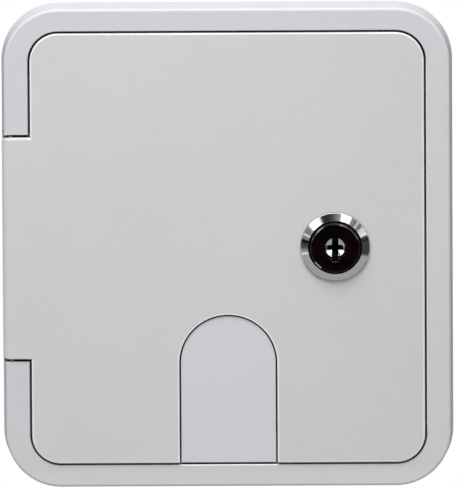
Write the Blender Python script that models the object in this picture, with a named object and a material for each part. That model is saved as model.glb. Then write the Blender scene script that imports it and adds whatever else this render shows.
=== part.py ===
# Power cord hatch for the side wall of a caravan or motorhome.
#
# A moulded frame sits in a rectangular cut-out of the wall.  A door with a
# hinge barrel along its left side covers the compartment, a small arched flap
# lets the cord out at the bottom, and a key cam lock holds the door shut.
#
# Frame of the part: X to the right, Y into the wall, Z up.  The origin is the
# centre of the wall cut-out, on the outer surface of the wall (y = 0).
# Every length below is in millimetres and is scaled by MM when a mesh is made.

import math

import bmesh
import bpy
from mathutils import Matrix, Vector

MM = 0.001
GAP = 0.3                       # clearance between pieces that touch

# ---- frame ----------------------------------------------------------------
FRAME_HX, FRAME_HZ, FRAME_R = 82.5, 90.1, 21.1      # back edge of the border
FRAME_BACK, FRAME_FACE = -1.5, -10.0
FRAME_LIP = -0.2                # back edge of the border's outer wall
FRAME_DRAFT, FRAME_FILLET = 0.85, 1.1
RECESS_HX, RECESS_HZ, RECESS_R = 72.85, 81.0, 11.25
LEDGE_Y = -3.5
MOUTH_HX, MOUTH_HZ, MOUTH_R = 64.5, 72.5, 17.5
SLEEVE_T, SLEEVE_END = 2.5, 30.0
WALL_T = 2.2                    # moulded wall of the hollow border
CHANNEL_TOP = -7.8
EAR_WEB = 3.2                   # thickness of the webs that carry the hinge

# ---- door -----------------------------------------------------------------
DOOR_HX, DOOR_HZ, DOOR_R = 72.1, 80.27, 10.5
DOOR_FACE, DOOR_SKIN, DOOR_FILLET = -10.8, 2.5, 0.55
RIM_INSET, RIM_W, RIM_BACK = 0.5, 2.0, -5.5
RIB_BACK = -6.6
HINGE_X, HINGE_Y, BARREL_R = -79.3, -7.6, 3.2
TAB_HZ, TAB_TOP_R, TAB_LOW_R = 41.35, 1.15, 0.35
TAB_Z = 0.26                    # middle of the tab above the middle of the door
WINDOW_HZ = 42.4                # half height of the gap in the left border
HINGE_PIN_R, HINGE_PIN_LEN = 1.1, 20.0

# ---- flap -----------------------------------------------------------------
NOTCH_HX, FLAP_HX, ARCH_Z = 17.98, 17.42, -42.8
FLAP_FACE, FLAP_BACK, FLAP_BOTTOM = -10.0, -6.75, -80.2
SEAL_HX, SEAL_IN_HX, SEAL_LOW, SEAL_FRONT, SEAL_BACK = 19.4, 15.0, -69.5, -7.9, -5.7
FLAP_PIN_Y, FLAP_PIN_Z, FLAP_PIN_R = -6.0, -75.6, 1.0
KNUCKLE_R, KNUCKLE_IN, KNUCKLE_OUT = 2.0, 8.0, 16.9
EAR_IN, EAR_OUT = 20.4, 23.4
SPRING_WIRE_R, SPRING_COIL_R, SPRING_TURNS, SPRING_HALF = 0.28, 1.62, 9, 6.2

# ---- lock -----------------------------------------------------------------
LOCK_X, LOCK_Z = 39.4, 0.67
RING_R, RING_IN_R = 12.7, 9.75
BARREL_THREAD_R, BARREL_FLAT = 9.3, 8.0
PLUG_R, KEYWAY_W, KEYWAY_ARM = 3.8, 2.4, 0.95
CAM_REACH, CAM_HALF_W, CAM_T = 22.0, 6.0, 2.0

# ---- fixings --------------------------------------------------------------
SCREW_X, SCREW_Z = 64.5, 72.7
SCREW_HEAD_R, SCREW_HEAD_H, SCREW_SHANK_R, SCREW_LEN = 3.5, 2.0, 1.6, 15.0

CORNER = 10                     # segments in a quarter of a rounded corner
ROUND = 32                      # segments of a lock-sized circle


for old in list(bpy.data.objects):
    bpy.data.objects.remove(old, do_unlink=True)


# ---------------------------------------------------------------------------
# materials
# ---------------------------------------------------------------------------
def material(name, colour, roughness, metallic=0.0):
    mat = bpy.data.materials.new(name)
    mat.use_nodes = True
    shader = mat.node_tree.nodes["Principled BSDF"]
    shader.inputs["Base Color"].default_value = (*colour, 1.0)
    shader.inputs["Roughness"].default_value = roughness
    shader.inputs["Metallic"].default_value = metallic
    mat.diffuse_color = (*colour, 1.0)
    return mat


PLASTIC_FRAME = ((0.66, 0.65, 0.69), 0.42, 0.0)
PLASTIC_DOOR = ((0.63, 0.63, 0.63), 0.45, 0.0)
CHROME = ((0.80, 0.81, 0.82), 0.14, 1.0)
BLACK_GLOSS = ((0.012, 0.010, 0.010), 0.12, 0.0)
SILVER = ((0.72, 0.72, 0.71), 0.22, 1.0)
STEEL = ((0.55, 0.55, 0.54), 0.30, 1.0)
ZINC = ((0.62, 0.60, 0.52), 0.38, 1.0)
BRASS = ((0.70, 0.52, 0.25), 0.30, 1.0)
RUBBER = ((0.030, 0.030, 0.032), 0.75, 0.0)
FOAM = ((0.060, 0.060, 0.064), 0.92, 0.0)


# ---------------------------------------------------------------------------
# mesh helpers
# ---------------------------------------------------------------------------
def finish(bm, name):
    """Turn a closed bmesh in millimetres into a mesh in metres."""
    bmesh.ops.recalc_face_normals(bm, faces=bm.faces)
    bmesh.ops.scale(bm, vec=(MM, MM, MM), verts=bm.verts)
    mesh = bpy.data.meshes.new(name)
    bm.to_mesh(mesh)
    bm.free()
    return mesh


def solid(name, mesh):
    obj = bpy.data.objects.new(name, mesh)
    bpy.context.scene.collection.objects.link(obj)
    return obj


def rounded(hx, hz, r, n=CORNER, cx=0.0, cz=0.0):
    """Points (x, z) of a rounded rectangle, counter-clockwise from the right."""
    pts = []
    for k, (sx, sz) in enumerate(((1, 1), (-1, 1), (-1, -1), (1, -1))):
        for i in range(n + 1):
            a = math.pi / 2 * (k + i / n)
            pts.append((cx + sx * (hx - r) + r * math.cos(a),
                        cz + sz * (hz - r) + r * math.sin(a)))
    return pts


def loft(name, rings, cycle=False):
    """Closed solid through rings of equal count; a cycle has no end caps."""
    bm = bmesh.new()
    loops = [[bm.verts.new(p) for p in ring] for ring in rings]
    count = len(loops[0])
    pairs = list(zip(loops, loops[1:]))
    if cycle:
        pairs.append((loops[-1], loops[0]))
    for a, b in pairs:
        for i in range(count):
            j = (i + 1) % count
            bm.faces.new((a[i], a[j], b[j], b[i]))
    if not cycle:
        bm.faces.new(loops[0])
        bm.faces.new(list(reversed(loops[-1])))
    return solid(name, finish(bm, name))


def rect_ring(hx, hz, r, y, n=CORNER):
    return [(x, y, z) for x, z in rounded(hx, hz, r, n)]


def prism(name, outline, y0, y1):
    """An outline of (x, z) points extruded along Y."""
    bm = bmesh.new()
    face = bm.faces.new([bm.verts.new((x, y0, z)) for x, z in outline])
    out = bmesh.ops.extrude_face_region(bm, geom=[face])
    moved = [e for e in out["geom"] if isinstance(e, bmesh.types.BMVert)]
    bmesh.ops.translate(bm, vec=(0, y1 - y0, 0), verts=moved)
    return solid(name, finish(bm, name))


def block(name, x0, x1, y0, y1, z0, z1):
    bm = bmesh.new()
    bmesh.ops.create_cube(bm, size=1.0)
    bmesh.ops.scale(bm, vec=(x1 - x0, y1 - y0, z1 - z0), verts=bm.verts)
    bmesh.ops.translate(bm, vec=((x0 + x1) / 2, (y0 + y1) / 2, (z0 + z1) / 2),
                        verts=bm.verts)
    return solid(name, finish(bm, name))


AXIS_TURN = {
    "X": Matrix.Rotation(math.pi / 2, 4, "Y"),
    "Y": Matrix.Rotation(-math.pi / 2, 4, "X"),
    "Z": Matrix.Identity(4),
}


def rod(name, axis, start, length, r0, r1=None, n=16):
    """A cylinder or cone frustum from start along a world axis."""
    bm = bmesh.new()
    bmesh.ops.create_cone(bm, cap_ends=True, segments=n, radius1=r0,
                          radius2=r0 if r1 is None else r1, depth=length)
    bmesh.ops.translate(bm, vec=(0, 0, length / 2), verts=bm.verts)
    bmesh.ops.transform(bm, matrix=AXIS_TURN[axis], verts=bm.verts)
    bmesh.ops.translate(bm, vec=start, verts=bm.verts)
    return solid(name, finish(bm, name))


def turned(name, profile, cx, cz, n=ROUND):
    """Spin a profile of (radius, y) about the Y line through (cx, cz).

    A profile that starts and ends on the axis gives a solid of revolution;
    any other profile is a closed section and gives a ring."""
    bm = bmesh.new()
    on_axis = profile[0][0] == 0.0
    verts = [bm.verts.new((cx + r, y, cz)) for r, y in profile]
    edges = [bm.edges.new(pair) for pair in zip(verts, verts[1:])]
    if not on_axis:
        edges.append(bm.edges.new((verts[-1], verts[0])))
    bmesh.ops.spin(bm, geom=verts + edges, cent=(cx, 0, cz), axis=(0, 1, 0),
                   dvec=(0, 0, 0), angle=math.tau, steps=n, use_merge=True,
                   use_duplicate=False)
    bmesh.ops.remove_doubles(bm, verts=bm.verts, dist=0.0005)
    return solid(name, finish(bm, name))


def boolean(obj, tool, operation):
    """Apply one exact boolean and drop the tool."""
    mod = obj.modifiers.new("boolean", "BOOLEAN")
    mod.operation = operation
    mod.solver = "EXACT"
    mod.object = tool
    bpy.context.view_layer.update()
    graph = bpy.context.evaluated_depsgraph_get()
    mesh = bpy.data.meshes.new_from_object(obj.evaluated_get(graph))
    obj.modifiers.clear()
    obj.data = mesh
    bpy.data.objects.remove(tool, do_unlink=True)
    return obj


def cut(obj, *tools):
    for tool in tools:
        boolean(obj, tool, "DIFFERENCE")
    return obj


def join(obj, *tools):
    for tool in tools:
        boolean(obj, tool, "UNION")
    return obj


def arc(r, start, end, n):
    """Points (r cos, r sin) from start to end, in degrees, ends included."""
    return [(r * math.cos(math.radians(start + (end - start) * i / n)),
             r * math.sin(math.radians(start + (end - start) * i / n)))
            for i in range(n + 1)]


def dress(obj, look, smooth=True, angle=35.0, pivot=None):
    """Give a piece its material and shading, and hang it on its pivot."""
    obj.data.materials.clear()
    obj.data.materials.append(material(obj.name + "_finish", *look))
    if smooth:
        obj.data.shade_smooth()
        obj.data.set_sharp_from_angle(angle=math.radians(angle))
    if pivot is not None:
        obj.data.transform(Matrix.Translation(-pivot.location))
        obj.parent = pivot
    return obj


def pivot_at(name, x, y, z):
    empty = bpy.data.objects.new(name, None)
    empty.location = Vector((x, y, z)) * MM
    empty.empty_display_size = 0.01
    bpy.context.scene.collection.objects.link(empty)
    return empty


door_axis = pivot_at("door_axis", HINGE_X, HINGE_Y, 0.0)
flap_axis = pivot_at("flap_axis", 0.0, FLAP_PIN_Y, FLAP_PIN_Z)
plug_axis = pivot_at("plug_axis", LOCK_X, 0.0, LOCK_Z)


# ---------------------------------------------------------------------------
# frame: border, ledge and sleeve in one moulding
# ---------------------------------------------------------------------------
def build_frame():
    rings = [(FRAME_HX, FRAME_HZ, FRAME_R, FRAME_LIP)]
    for i in range(5):                                   # front edge fillet
        a = math.pi / 2 * i / 4
        inset = FRAME_DRAFT + FRAME_FILLET * (1 - math.cos(a))
        y = FRAME_FACE + FRAME_FILLET * (1 - math.sin(a))
        rings.append((FRAME_HX - inset, FRAME_HZ - inset, FRAME_R - inset, y))
    rings += [
        (RECESS_HX + 0.3, RECESS_HZ + 0.3, RECESS_R + 0.3, FRAME_FACE),
        (RECESS_HX + 0.08, RECESS_HZ + 0.08, RECESS_R + 0.08, FRAME_FACE + 0.08),
        (RECESS_HX, RECESS_HZ, RECESS_R, FRAME_FACE + 0.3),
        (RECESS_HX, RECESS_HZ, RECESS_R, LEDGE_Y),
        (MOUTH_HX + 0.5, MOUTH_HZ + 0.5, MOUTH_R + 0.5, LEDGE_Y),
        (MOUTH_HX, MOUTH_HZ, MOUTH_R, LEDGE_Y + 0.5),
        (MOUTH_HX, MOUTH_HZ, MOUTH_R, SLEEVE_END),
        (MOUTH_HX + SLEEVE_T, MOUTH_HZ + SLEEVE_T, MOUTH_R + SLEEVE_T, SLEEVE_END),
        (MOUTH_HX + SLEEVE_T, MOUTH_HZ + SLEEVE_T, MOUTH_R + SLEEVE_T, FRAME_BACK),
        (RECESS_HX + WALL_T, RECESS_HZ + WALL_T, RECESS_R + WALL_T, FRAME_BACK),
        (RECESS_HX + WALL_T, RECESS_HZ + WALL_T, RECESS_R + WALL_T, CHANNEL_TOP),
        (FRAME_HX - WALL_T - 0.4, FRAME_HZ - WALL_T - 0.4,
         FRAME_R - WALL_T - 0.4, CHANNEL_TOP),
        (FRAME_HX - WALL_T, FRAME_HZ - WALL_T, FRAME_R - WALL_T, FRAME_LIP),
    ]
    frame = loft("frame", [rect_ring(*r) for r in rings], cycle=True)

    ch_in_x, ch_out_x = RECESS_HX + WALL_T - 0.4, FRAME_HX - WALL_T + 0.4
    ch_in_z, ch_out_z = RECESS_HZ + WALL_T - 0.4, FRAME_HZ - WALL_T + 0.4
    low, high = CHANNEL_TOP - 0.5, FRAME_BACK - 0.2
    web = WINDOW_HZ + EAR_WEB
    # the border is solid behind the hinge window, and webbed elsewhere
    join(frame, block("web", -ch_out_x, -ch_in_x, low, high, TAB_Z - web, TAB_Z + web))
    for z in (-40.0, 0.0, 40.0):
        join(frame, block("web", ch_in_x, ch_out_x, low, high, z - 0.8, z + 0.8))
    for x in (-36.0, 0.0, 36.0):
        for s in (-1, 1):
            z0, z1 = sorted((s * ch_in_z, s * ch_out_z))
            join(frame, block("web", x - 0.8, x + 0.8, low, high, z0, z1))

    # window in the left border where the door's tab comes over it
    cut(frame, block("window", -90.0, -71.4, -12.0, LEDGE_Y,
                     TAB_Z - WINDOW_HZ, TAB_Z + WINDOW_HZ))
    # bores of the hinge pins, open to the hollow border behind the ears
    for s in (-1, 1):
        start = s * (WINDOW_HZ - 2.0) if s > 0 else -(WINDOW_HZ + 24.0)
        cut(frame, rod("bore", "Z", (HINGE_X, HINGE_Y, TAB_Z + start), 26.0,
                       HINGE_PIN_R + GAP, n=16))

    # catch for the cam, standing inward from the right wall of the sleeve
    join(frame, block("catch", 57.5, MOUTH_HX + 1.0, LEDGE_Y + 0.1, 1.4,
                      -11.0, 11.0))

    # pocket in the ledge and sleeve floor that the flap folds into
    cut(frame, block("pocket", -24.4, 24.4, LEDGE_Y - 1.0, -2.3,
                     -77.2, -70.0))
    cut(frame, block("pocket", -20.6, 20.6, -3.0, SLEEVE_END + 2.0,
                     -74.0, -70.0))
    # ears that carry the flap's pin
    for s in (-1, 1):
        x0, x1 = sorted((s * EAR_IN, s * EAR_OUT))
        join(frame, block("ear", x0, x1, -7.9, -2.0, -77.4, -73.7))
    cut(frame, rod("bore", "X", (-30.0, FLAP_PIN_Y, FLAP_PIN_Z), 60.0,
                   FLAP_PIN_R + GAP, n=16))

    # holes for the mounting screws in the four corners of the ledge
    for sx in (-1, 1):
        for sz in (-1, 1):
            cut(frame, rod("hole", "Y", (sx * SCREW_X, -6.0, sz * SCREW_Z), 8.0,
                           SCREW_SHANK_R + 0.6, n=18))
    return dress(frame, PLASTIC_FRAME)


# ---------------------------------------------------------------------------
# door: panel with rim and ribs, and the tab with the hinge barrel
# ---------------------------------------------------------------------------
def arch_outline(hx, low, arch_z, n=24):
    """(x, z) of a shape with straight sides and a round top."""
    return [(-hx, low), (hx, low)] + [(x, arch_z + z)
                                      for x, z in arc(hx, 0, 180, n)]


def tab_section(inset, y_bottom):
    """(x, y) section of the tab and barrel, its front drawn in by inset."""
    r = BARREL_R - inset
    drop = y_bottom - HINGE_Y
    end = math.degrees(math.asin(-drop / r))             # where the plate meets
    pts = [(-70.4, y_bottom), (-70.4, HINGE_Y - r)]
    pts += [(HINGE_X + r * math.cos(math.radians(a)),
             HINGE_Y - r * math.sin(math.radians(a)))
            for a in [90 + (270 + 90 - end - 90) * i / 20 for i in range(21)]]
    return pts


def build_door():
    skin_back = DOOR_FACE + DOOR_SKIN
    rings = []
    for i in range(4):
        a = math.pi / 2 * i / 3
        inset = DOOR_FILLET * (1 - math.sin(a))
        y = DOOR_FACE + DOOR_FILLET * (1 - math.cos(a))
        rings.append((DOOR_HX - inset, DOOR_HZ - inset, DOOR_R - inset, y))
    inner = RIM_INSET + RIM_W
    rings += [
        (DOOR_HX, DOOR_HZ, DOOR_R, skin_back),
        (DOOR_HX - RIM_INSET, DOOR_HZ - RIM_INSET, DOOR_R - RIM_INSET, skin_back),
        (DOOR_HX - RIM_INSET, DOOR_HZ - RIM_INSET, DOOR_R - RIM_INSET, RIM_BACK),
        (DOOR_HX - inner, DOOR_HZ - inner, DOOR_R - inner, RIM_BACK),
        (DOOR_HX - inner, DOOR_HZ - inner, DOOR_R - inner, skin_back),
    ]
    door = loft("door", [rect_ring(*r) for r in rings])

    # stiffening ribs on the back, their ends running into the rim
    x_end, z_end = DOOR_HX - 1.5, DOOR_HZ - 1.5
    front = skin_back - 0.6
    for x, z0, z1 in ((-40.0, -z_end, z_end), (0.0, -21.5, z_end)):
        join(door, block("rib", x - 0.9, x + 0.9, front, RIB_BACK, z0, z1))
    for z, x0, x1 in ((36.0, -x_end, x_end), (-21.5, -x_end, x_end),
                      (-60.0, -x_end, -21.5), (-60.0, 21.5, x_end)):
        join(door, block("rib", x0, x1, front, RIB_BACK, z - 0.9, z + 0.9))

    # tab and hinge barrel, well rounded at the top end, crisp at the lower
    def end_sections(r, steps):
        return [(r * (1 - math.sin(math.pi / 2 * i / steps)),
                 TAB_HZ - r * (1 - math.cos(math.pi / 2 * i / steps)))
                for i in range(steps + 1)]

    rings = [[(x, y, TAB_Z - z) for x, y in tab_section(inset, skin_back)]
             for inset, z in end_sections(TAB_LOW_R, 2)]
    rings += [[(x, y, TAB_Z + z) for x, y in tab_section(inset, skin_back)]
              for inset, z in reversed(end_sections(TAB_TOP_R, 4))]
    join(door, loft("tab", rings))
    for s in (-1, 1):
        start = TAB_HZ - 13.0 if s > 0 else -(TAB_HZ + 2.0)
        cut(door, rod("bore", "Z", (HINGE_X, HINGE_Y, TAB_Z + start), 15.0,
                      HINGE_PIN_R + GAP, n=16))

    # notch for the flap, and the hole for the lock with its two flats
    cut(door, prism("notch", arch_outline(NOTCH_HX, -90.0, ARCH_Z), -14.0, 0.0))
    hole_r, hole_flat = BARREL_THREAD_R + GAP, BARREL_FLAT + GAP
    half = math.degrees(math.asin(hole_flat / hole_r))
    outline = [(LOCK_X + x, LOCK_Z + z)
               for x, z in arc(hole_r, -half, half, 14)
               + arc(hole_r, 180 - half, 180 + half, 14)]
    cut(door, prism("hole", outline, -14.0, 0.0))
    return dress(door, PLASTIC_DOOR, pivot=door_axis)


# ---------------------------------------------------------------------------
# flap, its pin and its spring
# ---------------------------------------------------------------------------
def build_flap():
    def ring(inset, y, low=FLAP_BOTTOM):
        return [(x, y, z) for x, z in
                arch_outline(FLAP_HX - inset, low + inset, ARCH_Z)]

    edge = 0.35
    flap = loft("flap", [ring(edge, FLAP_FACE), ring(edge * 0.3, FLAP_FACE + edge * 0.3),
                         ring(0.0, FLAP_FACE + edge), ring(0.0, FLAP_BACK)])
    for s in (-1, 1):
        x0, x1 = sorted((s * KNUCKLE_IN, s * KNUCKLE_OUT))
        join(flap, rod("knuckle", "X", (x0, FLAP_PIN_Y, FLAP_PIN_Z), x1 - x0,
                       KNUCKLE_R, n=20))
        join(flap, block("heel", x0, x1, FLAP_BACK - 0.4, -3.9, -80.0, -78.3))
    # pocket for the spring, then the bore of the pin
    cut(flap, block("pocket", -KNUCKLE_IN + 0.1, KNUCKLE_IN - 0.1, -8.3, -5.0,
                    -78.7, -73.3))
    cut(flap, rod("bore", "X", (-22.0, FLAP_PIN_Y, FLAP_PIN_Z), 44.0,
                  FLAP_PIN_R + GAP, n=16))
    return dress(flap, PLASTIC_FRAME, pivot=flap_axis)


def build_flap_seal():
    """Rubber lip round the flap's edge, closing on the back of the door."""
    seal = prism("flap_seal", arch_outline(SEAL_HX, SEAL_LOW, ARCH_Z),
                 SEAL_FRONT, SEAL_BACK)
    cut(seal, prism("inside", arch_outline(FLAP_HX + GAP, SEAL_LOW - 5.0, ARCH_Z),
                    SEAL_FRONT - 1.0, FLAP_BACK + GAP))
    cut(seal, prism("inside", arch_outline(SEAL_IN_HX, SEAL_LOW - 5.0, ARCH_Z),
                    SEAL_FRONT - 1.0, SEAL_BACK + 1.0))
    return dress(seal, RUBBER, pivot=flap_axis)


def build_flap_pin():
    pin = rod("flap_pin", "X", (-24.4, FLAP_PIN_Y, FLAP_PIN_Z), 50.2,
              FLAP_PIN_R, n=16)
    join(pin, rod("head", "X", (-25.2, FLAP_PIN_Y, FLAP_PIN_Z), 1.0, 1.9, n=16))
    dress(pin, STEEL)
    collar = rod("flap_pin_retainer", "X", (23.8, FLAP_PIN_Y, FLAP_PIN_Z), 0.8,
                 1.9, n=20)
    cut(collar, rod("bore", "X", (23.0, FLAP_PIN_Y, FLAP_PIN_Z), 3.0,
                    FLAP_PIN_R + GAP, n=16))
    dress(collar, STEEL)


def tube(name, points, radius, resolution=1):
    """A round wire along points, made with a bevelled poly curve."""
    curve = bpy.data.curves.new(name, "CURVE")
    curve.dimensions = "3D"
    curve.bevel_depth = radius * MM
    curve.bevel_resolution = resolution
    curve.use_fill_caps = True
    spline = curve.splines.new("POLY")
    spline.points.add(len(points) - 1)
    for point, co in zip(spline.points, points):
        point.co = (co[0] * MM, co[1] * MM, co[2] * MM, 1.0)
    source = solid(name + "_path", curve)
    bpy.context.view_layer.update()
    graph = bpy.context.evaluated_depsgraph_get()
    mesh = bpy.data.meshes.new_from_object(source.evaluated_get(graph))
    bpy.data.objects.remove(source, do_unlink=True)
    bm = bmesh.new()
    bm.from_mesh(mesh)
    bmesh.ops.remove_doubles(bm, verts=bm.verts, dist=0.00001)
    bmesh.ops.recalc_face_normals(bm, faces=bm.faces)
    bm.to_mesh(mesh)
    bm.free()
    return solid(name, mesh)


def build_flap_spring():
    """Torsion spring: one leg leans on the flap, the other on the ledge."""
    cy, cz, r = FLAP_PIN_Y, FLAP_PIN_Z, SPRING_COIL_R
    pts = [(-SPRING_HALF, cy - 0.18, cz + 10.5)]
    pts.append((-SPRING_HALF, cy + 0.55 * r, cz + 4.6))
    per_turn = 12
    total = int((SPRING_TURNS + 0.5) * per_turn)
    for i in range(total + 1):
        a = math.tau * i / per_turn
        # starts at the back of the coil and turns over the top to the front
        pts.append((-SPRING_HALF + 2 * SPRING_HALF * i / total,
                    cy + r * math.cos(a), cz + r * math.sin(a)))
    pts.append((SPRING_HALF, cy - 0.95 * r, cz - 1.6))
    pts.append((SPRING_HALF, LEDGE_Y - 0.75, cz - 3.9))
    return dress(tube("flap_spring", pts, SPRING_WIRE_R), STEEL)


# ---------------------------------------------------------------------------
# seals
# ---------------------------------------------------------------------------
def build_gasket():
    """Foam gasket behind the ledge, between the frame and the wall."""
    ox, oz, o_r = RECESS_HX + WALL_T - 0.6, RECESS_HZ + WALL_T - 0.6, RECESS_R + WALL_T - 0.6
    clear = SLEEVE_T + 1.0
    ix, iz, i_r = MOUTH_HX + clear, MOUTH_HZ + clear, MOUTH_R + clear
    front, back = FRAME_BACK + GAP, 0.0
    gasket = loft("flange_gasket", [rect_ring(ox, oz, o_r, back),
                                    rect_ring(ox, oz, o_r, front),
                                    rect_ring(ix, iz, i_r, front),
                                    rect_ring(ix, iz, i_r, back)], cycle=True)
    for sx in (-1, 1):
        for sz in (-1, 1):
            cut(gasket, rod("hole", "Y", (sx * SCREW_X, -3.0, sz * SCREW_Z), 5.0,
                            SCREW_SHANK_R + 0.5, n=16))
    return dress(gasket, FOAM)


def build_door_seal():
    """Rubber strip on the ledge, open at the bottom where the flap folds."""
    o, i = 0.55, 2.9
    y0, y1 = LEDGE_Y - GAP, RIM_BACK + GAP + 0.05
    seal = loft("door_seal", [
        rect_ring(RECESS_HX - o, RECESS_HZ - o, RECESS_R - o, y0),
        rect_ring(RECESS_HX - o - 0.3, RECESS_HZ - o - 0.3, RECESS_R - o - 0.3, y1),
        rect_ring(RECESS_HX - i + 0.3, RECESS_HZ - i + 0.3, RECESS_R - i + 0.3, y1),
        rect_ring(RECESS_HX - i, RECESS_HZ - i, RECESS_R - i, y0)], cycle=True)
    cut(seal, block("bay", -26.0, 26.0, -9.0, 0.0, -90.0, -60.0))
    return dress(seal, RUBBER)


# ---------------------------------------------------------------------------
# hinge pins and mounting screws
# ---------------------------------------------------------------------------
def build_hinge_pin(name, side):
    reach_in = 11.5                                       # into the barrel
    z0 = TAB_Z + side * (TAB_HZ - reach_in)
    z1 = z0 + side * HINGE_PIN_LEN
    low, high = sorted((z0, z1))
    pin = rod(name, "Z", (HINGE_X, HINGE_Y, low), high - low, HINGE_PIN_R, n=16)
    return dress(pin, STEEL)


def build_mounting_screw(name, sx, sz):
    """Pan-head self-tapping screw with a cross recess, head under the door."""
    seat = LEDGE_Y - GAP
    top = seat - SCREW_HEAD_H
    r = SCREW_HEAD_R
    tip = seat + SCREW_LEN
    screw = turned(name, [(0.0, top), (0.45 * r, top + 0.12), (0.8 * r, top + 0.5),
                          (r, top + 1.1), (r, seat), (SCREW_SHANK_R, seat),
                          (SCREW_SHANK_R, tip - 3.5), (0.35, tip - 0.3), (0.0, tip)],
                   sx * SCREW_X, sz * SCREW_Z, n=20)
    for w, h in ((0.5, 1.9), (1.9, 0.5)):
        cut(screw, block("cross", sx * SCREW_X - w, sx * SCREW_X + w, top - 1.0,
                         top + 1.1, sz * SCREW_Z - h, sz * SCREW_Z + h))
    return dress(screw, ZINC)


# ---------------------------------------------------------------------------
# cam lock
# ---------------------------------------------------------------------------
TUMBLER_WAYS = ((0, 1), (1, 0), (0, -1), (-1, 0))


def tumbler_y(k):
    return -9.6 + 1.9 * k


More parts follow.
